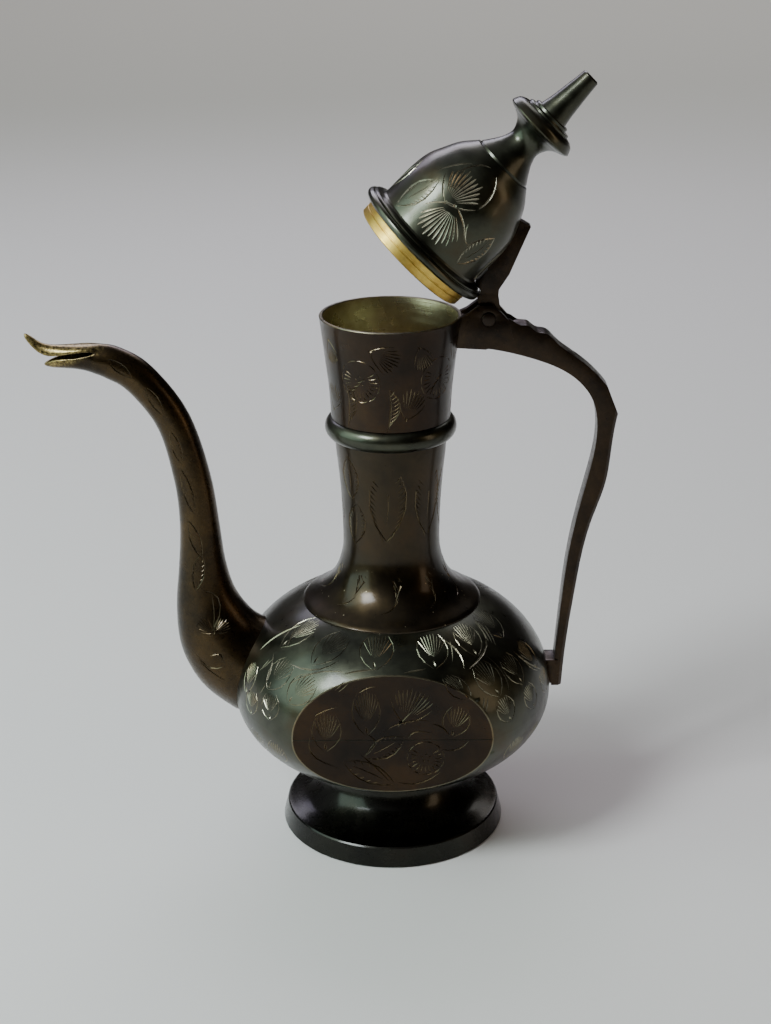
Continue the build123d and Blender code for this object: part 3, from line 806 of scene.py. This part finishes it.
# Each leaf is (foot azimuth, foot height, tip azimuth, tip height, width).
shoulder = [(-149, 86.4, -142, 95.6, 11.4), (-127, 86.0, -118, 94.8, 12.6), (-98, 87.4, -98, 95.6, 12.4),
            (-71, 87.0, -67, 95.2, 12.2), (-49, 87.4, -44, 95.4, 11.6), (-27, 88.0, -23, 95.6, 11.4)]
second_row = [(-143, 73.8, -138, 84.8, 11.4), (-131, 72.8, -123, 82.6, 11.6), (-60, 76.0, -64, 86.2, 10.2),
              (-47, 74.0, -51, 85.8, 11.4), (-33, 73.6, -36, 84.6, 11.0), (-19, 73.0, -21, 84.4, 11.0),
              (-156, 66.4, -157, 78.0, 9.6)]
low_row = [(-138, 63.6, -140, 73.2, 10.4), (-44, 63.6, -47, 73.4, 10.4), (-29, 62.4, -32, 72.6, 10.4),
           (-150, 60.6, -151, 69.8, 9.4), (-15, 62.2, -17, 72.4, 10.0)]
loose_cuts = [(-113, 80.4, -110, 84.2), (-112, 79.6, -108, 83.2), (-146, 88.0, -152, 92.4),
              (-145, 87.0, -151, 91.2),
              (-37, 89.4, -33, 94.6), (-36, 88.6, -31, 93.8), (-35, 87.8, -29.5, 92.8),
              (-62, 88.0, -58, 92.6),
              (-151, 78.0, -148, 83.0), (-152, 77.0, -150, 82.0), (-56, 72.0, -54, 76.0),
              (-55, 71.0, -52.5, 75.4)]
stems = [((-137, 84.0), (-124, 85.0), (-115, 88.8)), ((-133, 78.6), (-123, 84.4), (-111, 86.1)),
         ((-111, 85.6), (-104, 87.0), (-97, 87.7)), ((-85, 86.8), (-80, 87.1), (-75, 87.4)),
         ((-35, 92.0), (-42, 88.2), (-56, 85.0)), ((-160, 82.0), (-157, 88.0), (-150, 93.0)),
         ((-28, 84.0), (-24, 78.0), (-16, 72.0)), ((-62, 94.0), (-57, 90.0), (-58, 85.6)),
         ((-44, 86.4), (-41, 80.0), (-42, 74.0)), ((-150, 84.0), (-145, 78.0), (-146, 71.0))]
for side in (1, -1):
    for row, rays in ((shoulder, 9), (second_row, 8), (low_row, 8)):
        lay_row(upper_cuts, upper_skin, round_wall, side, row,
                lambda size, width: fan(size * 1.08, width * rng.uniform(0.95, 1.08), rays))
    for stem in stems:
        trail(upper_cuts, upper_skin, round_wall, side, stem, rng.uniform(0.55, 0.85))
    lay_row(upper_cuts, upper_skin, round_wall, side, loose_cuts,
            lambda size: [stroke((0, 0), (0, size), 0.03, 0.55, "blade", 5)])

# On the flats a motif is (foot x, foot z, tip x, tip z, width, rays).
flat_fans = [(-25.2, 54.6, -24.2, 71.4, 11.6, 9), (-9.6, 61.2, -10.0, 80.6, 11.0, 10),
             (22.0, 60.6, 25.4, 73.6, 10.6, 8)]
flat_leaves = [(-10.4, 51.8, 4.6, 60.6, 8.6, 8), (0.8, 40.4, -18.8, 50.4, 8.2, 7)]
flat_stems = [((-29.0, 69.4), (-26.2, 71.4), (-20.8, 73.4)), ((-12.4, 79.0), (-9.6, 81.0), (-6.2, 81.6)),
              ((-2.2, 63.6), (4.8, 67.0), (13.8, 67.4)), ((-9.6, 62.0), (-6.6, 58.0), (-10.6, 52.4)),
              ((2.0, 64.8), (4.2, 68.0), (7.6, 71.6)), ((14.6, 66.0), (18.6, 64.6), (21.4, 61.0)),
              ((-12.2, 53.4), (-6.4, 47.8), (-1.0, 41.4)), ((2.0, 41.4), (10.0, 41.0), (18.0, 45.6)),
              ((-31.0, 60.6), (-29.8, 53.0), (-21.0, 48.0)), ((18.8, 55.4), (24.0, 55.2), (28.6, 58.8)),
              ((6.0, 60.2), (8.8, 62.8), (14.8, 62.2))]
for side in (-1, 1):
    corners = [Vector((x, side * facet * MM, z)) for x,
               z in ((-0.06, 0), (0.06, 0), (0.06, 0.12), (-0.06, 0.12))]
    flat = BVHTree.FromPolygons(corners, [(0, 1, 2, 3) if side < 0 else (3, 2, 1, 0)])
    flat_cuts = []
    for row, draw in ((flat_fans, lambda size, width, rays: fan(size, width, rays, 0.6)),
                      (flat_leaves, lambda size, width, hatches: leaf(size, width, hatches, 0.6)),
                      ([(4.4, 66.4, 9.2, 80.8)], lambda size: open_fan(14.6, 74, 11, 0.7, 0.3)),
                      ([(12.4, 51.6, 12.4, 58.0)], lambda size: flower(6.8, 20, 0.5))):
        lay_row(flat_cuts, flat, side_wall, side, row, draw)
    for stem in flat_stems:
        trail(flat_cuts, flat, side_wall, side, stem, 0.65)
    upper_cuts.extend(flat_cuts)
    lower_cuts.extend(flat_cuts)
    low_fans = [(azimuth, 45.0, azimuth + 3 * side, 56.0) for azimuth in (-150, -138, -42, -28, -14)]
    lay_row(lower_cuts, lower_skin, round_wall, side, low_fans, lambda size: fan(size, 10.6, 8))
engrave(body_upper, upper_cuts, graver_cut)
engrave(body_lower, lower_cuts, graver_cut)
# On both flats the grooves are switched from the lighter cut finish to the darker brown one: painted shade
# on the flats' strokes.
for half in (body_upper, body_lower):
    half.data.materials.append(graver_cut_brown)
    lit_cut_index, shaded_cut_index = len(half.data.materials) - 2, len(half.data.materials) - 1
    for face in half.data.polygons:
        if face.material_index == lit_cut_index and abs(abs(face.center.y) - facet * MM) < 0.5 * MM:
            face.material_index = shaded_cut_index

# %% [markdown]
# ## Neck, ring and cup
# The neck is one turned tube whose skirt lies on the shoulder and hides the braze. A
# half-round ring covers the joint with the flared cup. The cup's inside is bare brass, and
# its rim is rubbed light.

# %% Neck
skirt_top = 96.9
neck_outer = [(34.2, 95.2), (34.6, 95.8), (34.6, 96.4)] + flowing(
    [(34.0, skirt_top + 0.15), (28.3, 100.7), (23.8, 105.1), (21.1, 109.6), (19.2, 115.6), (18.6, 121.0),
     (18.7, 130.0),
     (19.15, 140.0), (19.9, 149.0), (20.7, 156.5), (21.1, 161.0)]) + [(21.1, ring_high.z)]
neck_inner = flowing([(19.5, 160.0), (18.2, 147.0), (17.1, 132.0), (NECK_BORE, 121.0), (NECK_BORE, 104.0)])
bm = spun(neck_outer + [(19.5, ring_high.z)] + neck_inner + [(NECK_BORE, 100.0), (28.0, 97.6)])
neck = settle("pot_neck", bm, [patina_dusty], "pot", "neck", "neck", sharp=20)
neck_skin = skin_of(neck)
neck_cuts = []
ovals = [(-96, 126.4, -93, 160.0, 15.0), (-45, 127.0, -44, 159.0, 13.0), (-8, 127.0, -8, 158.0, 13.0)]
short_leaves = [(-140, 141.6, -141, 159.0, 9.4), (-138, 123.6, -132, 140.6, 9.4),
                (-177, 126.0, -175, 142.0, 9.0)]
feathers = [(-163, 106.0, -138, 121.0, 5.2), (-124, 105.6, -96, 121.6, 5.4), (-84, 105.4, -60, 120.6, 5.2),
            (-46, 105.6, -24, 121.0, 5.2), (-10, 105.8, 12, 120.4, 5.0)]
for side in (1, -1):
    for row, hatches in ((ovals, 15), (short_leaves, 9)):
        lay_row(neck_cuts, neck_skin, round_wall, side, row,
                lambda size, width: leaf(size, width, hatches, 0.6))
    for spot in feathers:
        lay_row(neck_cuts, neck_skin, round_wall, side, [spot],
                lambda size, width: feather(size, width, 10, 0.75, -side))
        azimuth, height = spot[:2]
        stem = ((azimuth - 14, height - 4.6), (azimuth - 5, height - 3.0), (azimuth, height))
        trail(neck_cuts, neck_skin, round_wall, side, stem, 0.55)
engrave(neck, neck_cuts, graver_cut_brown)

# %% Ring
ring_middle = 0.5 * (ring_low.z + ring_high.z)
ring_arc = [(21.1 + 3.8 * cos(turn), ring_middle + 4.1 * sin(turn))
            for turn in [radians(-90 + 10 * step) for step in range(19)]]
settle("pot_neck_ring", spun(ring_arc), [patina], "pot", "neck_ring", "neck_ring")

# %% Cup
cup_wall_line = flowing([(22.5, ring_high.z), (23.2, ring_high.z + 11.6), (25.0, ring_high.z + 27.0),
                         (rim_radius - 0.1, rim - 0.6)], 8)
cup_rim_line = [(rim_radius, rim - 0.25), (rim_radius - 0.2, rim), (rim_radius - 1.1, rim),
                (rim_radius - 1.4, rim - 0.3)]
cup_inside = [(r - 1.5, z) for r, z in reversed(cup_wall_line[3:-1])]
cup_bottom = [(21.0, ring_high.z + 3.0), (18.3, ring_high.z + 1.5), (18.3, cup_low.z), (19.5, cup_low.z),
              (19.5, ring_high.z)]
bm = spun(cup_wall_line + cup_rim_line + cup_inside + cup_bottom)
paint(bm, 1, lambda p, n: n.dot(Vector((p.x, p.y, 0)).normalized()) < -0.2 and p.z > ring_high.z)
paint(bm, 2, lambda p, n: p.z > rim - 0.55 and n.z > 0.3)
cup = settle("pot_mouth_cup", bm, [patina_brown, brass_mouth, patina_rubbed_and_highlight], "pot", "mouth_cup", "mouth_cup",
             sharp=20)
cup_skin = skin_of(cup)
cup_cuts = []
cup_fans = [(-107, 203.0, -84, 198.4, 12.0, 58), (-158, 176.0, -150, 188.0, 11.0, 60),
            (-76, 176.0, -66, 187.0, 12.0, 62), (-30, 203.0, -10, 198.0, 11.0, 58),
            (-152, 204.0, -147, 194.0, 10.0, 50), (-66, 204.0, -58, 195.0, 10.0, 52)]
for side in (1, -1):
    for azimuth in (-118, -44):
        lay_row(cup_cuts, cup_skin, round_wall, side, [(azimuth, 190.6, azimuth, 198.0)],
                lambda size: flower(8.0, 24, 0.5))
        ticks = [(azimuth - 9 + 2 * drop, 186.6 + drop, azimuth + 5 + 2 * drop, 190.4 + drop)
                 for drop in (0.0, 1.7, 3.4)]
        lay_row(cup_cuts, cup_skin, round_wall, side, ticks,
                lambda size: [stroke((0, 0), (0, 3.4), 0.05, 0.6, "blade", 4)])
    lay_row(cup_cuts, cup_skin, round_wall, side, cup_fans,
            lambda size, reach, spread: open_fan(reach, spread, 8, 0.6, 0.34))
    lay_row(cup_cuts, cup_skin, round_wall, side,
            [(azimuth, 174.0, azimuth + 2, 188.6) for azimuth in (-93, -134, -14)],
            lambda size: feather(14.2, 4.0, 9, 0.55, side))
engrave(cup, cup_cuts, graver_cut_brown)

# %% [markdown]
# ## The lid
# The dome, its rolled flange and the finial are turned; a ring of bare brass under the
# flange enters the mouth. They are drawn over the mouth as if the lid were shut, engraved,
# and only then turned open, so that every lathe line stays true to the lid's own axis.

# %% Lid helpers
def lid_piece(name, outline, materials, slot, node, sharp=28):
    """A turned piece of the lid, drawn closed with heights above the rim."""
    bm = spun([(radius, rim + height) for radius, height in outline])
    return settle(name, bm, materials, "lid", slot, node, sharp=sharp)


def swing_open(piece):
    """Turn a finished lid piece open about the hinge, its shading with it."""
    normals = [lid_open.to_3x3() @ Vector(corner.vector) for corner in piece.data.corner_normals]
    piece.data.transform(lid_open)
    piece.data.normals_split_custom_set([normal.normalized() for normal in normals])


# %% Dome with its flange
flange_line = [(25.4, 0.15), (26.4, 0.25), (27.1, 0.6), (27.6, 1.15), (27.78, 1.8), (27.7, 2.4),
               (27.35, 2.95),
               (26.9, 3.25), (26.45, 3.3), (26.2, 3.15), (26.1, 3.35), (26.25, 3.7), (26.1, 4.1),
               (25.6, 4.4),
               (24.8, 4.55), (23.8, 4.7), (23.1, 5.0), (22.75, 5.7)]
dome_line = flowing([(22.7, 7.0), (22.7, 18.0), (21.7, 25.6), (19.25, 31.4), (16.6, 36.6), (12.7, 41.4)],
                    8)[:-1]
crown_line = [(12.7, 41.4), (12.3, 41.9), (12.0, 42.0), (11.75, 41.5), (11.35, 41.5), (11.3, 42.2),
              (11.25, 42.8), (10.3, 44.2)]
dome_inside = [(2.05, 44.2), (2.05, 42.6), (9.5, 42.6)] + flowing(
    [(11.4, 40.2), (15.2, 35.6), (17.8, 30.8), (20.2, 25.2), (21.1, 18.0), (21.1, 7.0)]) + [(21.1, 0.15)]
dome = lid_piece("lid_dome_turned", flange_line + dome_line + crown_line + dome_inside,
                 [patina_lid, patina_rubbed_and_highlight],
                 "lid_dome", "lid_dome", sharp=24)
dome_skin = skin_of(dome)
dome_cuts = []
dome_fans = [(-104, 232.4, -99, 217.4, 15.4, 92, 12), (-112, 230.4, -108, 246.0, 15.0, 88, 11)]
dome_leaves = [(-146, 216.6, -131, 234.0, 8.4), (-64, 218.0, -52, 233.6, 8.0)]
dome_stems = [((-86, 237.0), (-84, 243.0), (-94, 248.6)), ((-128, 240.0), (-122, 246.6), (-108, 249.4)),
              ((-84, 231.0), (-78, 227.0), (-70, 225.6)), ((-142, 236.0), (-136, 242.0), (-126, 246.0))]
for turn in (0, 122, 240):
    for row, draw in (
            (dome_fans, lambda size, reach, spread, rays: open_fan(reach, spread, rays, 0.85, 0.2)),
            (dome_leaves, lambda size, width: leaf(size, width, 10, 0.7))):
        turned = [(a + turn, h, tip_a + turn, tip_h, *rest) for a, h, tip_a, tip_h, *rest in row]
        lay_row(dome_cuts, dome_skin, round_wall, 1, turned, draw)
    for stem in dome_stems:
        trail(dome_cuts, dome_skin, round_wall, 1, [(a + turn, h) for a, h in stem], 0.8)
# The lighter groove finish on the dome is painted highlight.
engrave(dome, dome_cuts, graver_cut_dome_highlight)
swing_open(dome)

# %% Spigot, stem, disc and spire
spigot = lid_piece("lid_spigot_turned", [(21.1, 0.15), (21.1, 4.5), (19.8, 4.5), (19.8, -5.5), (23.4, -5.5),
                                         (23.85, -5.1),
                                         (23.95, -2.6), (23.75, -2.4), (23.75, -2.1), (24.0, -1.9),
                                         (24.1, 0.15)],
                   [brass_spigot], "lid_spigot", "lid_spigot")
swing_open(spigot)
stem_line = flowing([(10.3, 44.2), (8.7, 46.6), (7.2, 49.2), (6.25, 52.2), (6.7, 54.6), (8.4, 57.2),
                     (11.4, 59.0)], 6)
stem = lid_piece("finial_stem_turned", stem_line + [(2.05, 59.0), (2.05, 44.2)], [patina_lid],
                 "finial_stem", "finial_stem")
swing_open(stem)
disc_line = [(2.05, 59.0), (11.8, 59.0), (13.3, 59.7), (13.9, 60.2), (14.0, 60.6)] + flowing(
    [(13.8, 61.2), (12.9, 62.9), (11.2, 64.0), (9.7, 64.4)], 5) + [
    (9.5, 64.2), (9.4, 65.0), (9.1, 65.35), (7.7, 65.35), (7.5, 65.6), (7.5, 66.4), (7.1, 66.8),
    (2.05, 66.8)]
disc = lid_piece("finial_disc_turned", disc_line, [patina_lid], "finial_disc", "finial_disc")
swing_open(disc)
spire_line = flowing([(6.0, 66.8), (5.2, 70.6), (4.45, 76.0), (3.75, 81.6), (3.4, 85.0)], 5) + [
    (3.18, 85.2), (2.85, 85.5), (0.0, 85.5), (0.0, 75.8), (2.05, 75.8), (2.05, 66.8)]
spire = lid_piece("finial_spire_turned", spire_line, [patina_lid], "finial_spire", "finial_spire")
swing_open(spire)

# %% [markdown]
# ## The spout
# A swan-neck casting. Its tube is a row of oval rings, extruded one from the next along a
# smooth path. At the beak the rings part: the crown of the last ring runs on as the curled
# upper lip, and the rest of it runs on as the lower trough. A wall is then given inwards.

# %% Spout stations
RING = 28
stations = [((-52.0, 65.5), 60.0, 40.5, 32.0), ((-63.8, 73.4), 52.0, 37.0, 29.0),
            ((-70.7, 84.3), 40.2, 32.1, 25.5),
            ((-73.3, 96.2), 26.0, 25.1, 21.0), ((-73.7, 111.0), 8.0, 18.4, 17.0),
            ((-74.0, 128.5), -1.0, 15.3, 14.4),
            ((-76.1, 147.2), 4.0, 14.3, 13.2), ((-82.3, 169.6), 25.0, 13.2, 12.2),
            ((-94.1, 185.9), 47.0, 13.2, 11.8),
            ((-103.6, 191.9), 66.0, 13.0, 11.3), ((-109.2, 193.5), 80.0, 11.7, 10.6)]
rows = [(x, z, tilt, width, breadth) for (x, z), tilt, width, breadth in stations]
path = []
STEPS = 5
padded = [rows[0]] + rows + [rows[-1]]
for four in zip(padded, padded[1:], padded[2:], padded[3:]):
    for step in range(STEPS):
        path.append([between(*values, step / STEPS) for values in zip(*four)])
path.append(list(rows[-1]))


def oval_point(row, turn):
    """A point of a spout ring; turn 0 is the crown, on the outside of the last bend."""
    x, z, tilt, width, breadth = row
    across = 0.5 * width * cos(turn)
    ridge = 1.0 + 0.035 * max(0.0, cos(turn * 2 - pi)) ** 3
    along = Vector((cos(radians(tilt)), 0, sin(radians(tilt))))
    return Vector((x, 0, z)) * MM + along * across * MM + Vector((0, 0.5 * breadth * sin(turn) * ridge * MM,
                                                                  0))


# %% Spout mesh
bm = bmesh.new()
number = bm.verts.layers.int.new("number")
bmesh.ops.create_circle(bm, cap_ends=False, radius=0.01, segments=RING)
bm.verts.ensure_lookup_table()
for index, vert in enumerate(bm.verts):
    vert[number] = index
front = list(bm.edges)
for position, row in enumerate(path):
    if position:
        made = bmesh.ops.extrude_edge_only(bm, edges=front)["geom"]
        front = [item for item in made if isinstance(item, bmesh.types.BMEdge)]
        ring = {v for edge in front for v in edge.verts}
    else:
        ring = set(bm.verts)
    for vert in ring:
        vert.co = oval_point(row, 2 * pi * vert[number] / RING)
CROWN = 4
upper_lip = [(-112.5, 197.6, 199.35, 10.2), (-116.5, 196.9, 199.2, 9.6), (-120.5, 196.2, 199.05, 8.8),
             (-124.0, 195.6, 199.0, 7.8),
             (-127.2, 195.2, 199.1, 6.6), (-130.0, 196.0, 199.9, 5.4), (-132.4, 197.8, 201.7, 4.2),
             (-134.4, 200.0, 203.2, 3.0),
             (-135.9, 202.0, 203.7, 1.8)]
lower_lip = [(-112.5, 195.8, 188.7, 10.2), (-116.5, 194.8, 189.7, 9.4), (-120.5, 194.4, 190.0, 8.2),
             (-124.0, 194.2, 190.1, 6.6),
             (-127.0, 193.0, 190.4, 4.6), (-129.3, 191.9, 191.1, 2.4)]


def crown_step(vert):
    """A ring vertex's place counted from the crown, negative on one side."""
    index = vert[number]
    return index if index <= RING // 2 else index - RING


def grow_lip(edges, lip, share):
    """Extrude part of the last ring through a lip's rows; share maps a vertex to -1 .. 1."""
    for x, edge_z, crest_z, breadth in lip:
        made = bmesh.ops.extrude_edge_only(bm, edges=edges)["geom"]
        edges = [item for item in made if isinstance(item, bmesh.types.BMEdge)]
        for vert in {v for edge in edges for v in edge.verts}:
            turn = 0.5 * pi * share(vert)
            vert.co = Vector((x, 0.5 * breadth * sin(turn), edge_z + (crest_z - edge_z) * cos(turn))) * MM


upper_edges = [e for e in front if all(abs(crown_step(v)) <= CROWN for v in e.verts)]
lower_edges = [e for e in front if e not in upper_edges]
grow_lip(upper_edges, upper_lip, lambda v: crown_step(v) / CROWN)


def trough_share(vert):
    """Share round the lower trough: 0 at its keel, 1 at its two edges."""
    step = crown_step(vert)
    keel = RING // 2
    return (keel - abs(step)) / (keel - CROWN) * (1 if step > 0 else -1)


grow_lip(lower_edges, lower_lip, trough_share)
bmesh.ops.recalc_face_normals(bm, faces=bm.faces)
spout = settle("pot_spout_cast", bm, [cast_spout], "pot", "spout", "spout", sharp=60)
wall = spout.modifiers.new("wall", "SOLIDIFY")
wall.thickness = 1.1 * MM
root_centre = Vector((-0.06, 0, 0.07))
probe = spout.data.polygons[60]
wall.offset = -1.0 if probe.normal.dot(probe.center - root_centre) > 0 else 1.0
smooth = spout.modifiers.new("smooth", "SUBSURF")
smooth.levels = 1
smooth.render_levels = 1
graph = bpy.context.evaluated_depsgraph_get()
spout.data = bpy.data.meshes.new_from_object(spout.evaluated_get(graph))
spout.modifiers.clear()
spout.data.shade_smooth()
print("spout triangles:", triangles(spout.data))

# %% Spout engraving
spout_skin = skin_of(spout)
spout_cuts = []
spout_leaves = [(-104.6, 194.8, -95.8, 187.2, 3.6), (-91.2, 184.2, -85.0, 172.6, 3.8),
                (-82.8, 167.0, -79.0, 153.8, 3.8),
                (-79.6, 152.0, -75.0, 133.6, 4.0), (-77.6, 131.0, -71.6, 115.6, 4.6),
                (-75.8, 103.0, -73.0, 118.0, 5.0)]
spout_stems = [((-72.6, 103.0), (-66.8, 98.0), (-68.6, 88.6)),
               ((-69.6, 101.0), (-69.0, 94.0), (-69.4, 87.0)),
               ((-76.4, 77.0), (-72.0, 72.0), (-66.0, 72.6)), ((-75.6, 74.0), (-70.4, 69.6), (-64.6, 66.4)),
               ((-70.6, 77.0), (-66.8, 77.8), (-66.0, 74.6))]
spout_fans = [(-69.6, 86.4, -76.4, 91.4), (-69.2, 86.4, -63.4, 90.6)]
for side in (-1, 1):
    lay_row(spout_cuts, spout_skin, side_wall, side, spout_leaves,
            lambda size, width: leaf(size, width, 7, 0.6, (-1, 1), False))
    for stem in spout_stems:
        trail(spout_cuts, spout_skin, side_wall, side, stem, 0.7)
    lay_row(spout_cuts, spout_skin, side_wall, side, spout_fans,
            lambda size: open_fan(7.4, 56, 6, 0.6, 0.2))
engrave(spout, spout_cuts, graver_cut_brown)

# %% [markdown]
# ## Handle, lug, arm and pin
# The cast handle's shape is already right in the CAD model, flats and bevels included. A
# copy of its mesh is merged, its sharp corners are rounded a little, as a file leaves them,
# and it takes the cast finish.

# %% Copies of the cast pieces
def filed_copy(node, name, body, materials, radius=0.35):
    """A merged copy of a CAD node with its sharp edges rounded off."""
    source = frame["nodes"][node]
    bm = bmesh.new()
    bm.from_mesh(source.data)
    bm.transform(source.matrix_world)
    bmesh.ops.remove_doubles(bm, verts=bm.verts, dist=3e-6)
    bmesh.ops.dissolve_limit(bm, angle_limit=radians(0.6), verts=bm.verts, edges=bm.edges)
    sharp = [e for e in bm.edges if len(e.link_faces) == 2 and e.calc_face_angle(0) > radians(24)]
    bmesh.ops.bevel(bm, geom=sharp, offset=radius * MM, offset_type="OFFSET", affect="EDGES", segments=2,
                    profile=0.5, material=-1, clamp_overlap=True)
    bmesh.ops.triangulate(bm, faces=bm.faces)
    return settle(name, bm, materials, body, node, node, sharp=40)


filed_copy("handle", "pot_handle_cast", "pot", [cast_handle])
filed_copy("lid_arm", "lid_arm_cast", "lid", [cast_handle])
filed_copy("finial_stud", "finial_stud_turned", "lid", [brass_spigot], 0.2)
filed_copy("handle_lug", "pot_handle_lug", "pot", [cast_handle], 0.7)
filed_copy("hinge_pin", "pot_hinge_pin", "pot", [pin_metal], 0.15)

# %% [markdown]
# ## Stage, light and camera
# A pale floor and soft light. The main light is a soft panel to the upper left, a little in
# front, inside a wide bluish one; a low warm panel lifts the shadow side, one behind draws
# the edges, and one far off keeps the floor even. The surroundings grow brighter towards the
# upper left too, so that the metal has something to mirror.

# %% Floor
bm = bmesh.new()
bmesh.ops.create_grid(bm, x_segments=2, y_segments=2, size=6.0)
mesh = bpy.data.meshes.new("studio_floor")
bm.to_mesh(mesh)
bm.free()
floor = bpy.data.objects.new("studio_floor", mesh)
bpy.context.scene.collection.objects.link(floor)
floor_material, _, floor_shader = blank_material("pale_floor")
floor_shader.inputs["Base Color"].default_value = linear("#dcd8d2")
floor_shader.inputs["Roughness"].default_value = 0.75
floor.data.materials.append(floor_material)


# %% Lights
def panel(name, place, aim, size, power, colour):
    """A soft square light that faces a point."""
    data = bpy.data.lights.new(name, "AREA")
    data.shape = "RECTANGLE"
    data.size, data.size_y = size
    data.energy = power
    data.color = linear(colour)[:3]
    lamp = bpy.data.objects.new(name, data)
    lamp.location = place
    lamp.rotation_euler = (Vector(aim) - Vector(place)).to_track_quat("-Z", "Y").to_euler()
    bpy.context.scene.collection.objects.link(lamp)


panel("key_panel", (-0.75, -0.55, 1.05), (0, 0, 0.12), (0.40, 0.40), 16.0, "#eef6ff")
panel("sky_panel", (-1.15, -0.35, 0.75), (0, 0, 0.13), (1.2, 1.2), 15.0, "#c6e6de")
panel("side_panel", (1.2, -0.4, 0.5), (0, 0, 0.12), (0.35, 0.8), 1.6, "#ffe2c0")
panel("back_panel", (-0.2, 1.1, 1.0), (0, 0, 0.15), (1.2, 0.5), 6.0, "#e6e0ff")
panel("far_panel", (0.3, 3.4, 2.8), (0.2, 3.2, 0), (4.0, 2.5), 55.0, "#ffffff")

world = bpy.data.worlds.new("studio_world")
world.use_nodes = True
sky = world.node_tree
direction = add_node(sky, "ShaderNodeTexCoord")
lean = add_node(sky, "ShaderNodeVectorMath", {"operation": "DOT_PRODUCT"},
                i0=direction.outputs["Generated"],
                i1=(-0.62, -0.15, 0.77))
glow = ramp(sky, lean.outputs["Value"], [(0.0, linear("#2a231d")), (0.45, linear("#64605c")),
                                         (0.95, linear("#e6ebee"))])
camera_ray = add_node(sky, "ShaderNodeLightPath").outputs["Is Camera Ray"]
backdrop = add_node(sky, "ShaderNodeMix", {"data_type": "RGBA"}, Factor=camera_ray, i6=glow,
                    i7=linear("#f4f3f1"))
sky.links.new(backdrop.outputs[2], sky.nodes["Background"].inputs["Color"])
sky.nodes["Background"].inputs["Strength"].default_value = 0.5
bpy.context.scene.world = world

# %% Camera
pitch, yaw, roll = radians(21.53), radians(-0.194), radians(-0.383)
forward = Vector((cos(pitch) * sin(yaw), cos(pitch) * cos(yaw), -sin(pitch)))
level_right = Vector((cos(yaw), -sin(yaw), 0))
level_up = Vector((sin(pitch) * sin(yaw), sin(pitch) * cos(yaw), cos(pitch)))
image_right = level_right * cos(roll) + level_up * sin(roll)
image_up = level_up * cos(roll) - level_right * sin(roll)
camera_data = bpy.data.cameras.new("studio_camera")
camera_data.sensor_width = 36.0
camera_data.lens = 64.47
camera_data.clip_start = 0.01
camera = bpy.data.objects.new("studio_camera", camera_data)
camera.matrix_world = Matrix.Translation((0, -0.6567, 0.3905)) @ Matrix(
    (image_right, image_up, -forward)).transposed().to_4x4()
bpy.context.scene.collection.objects.link(camera)
bpy.context.scene.camera = camera
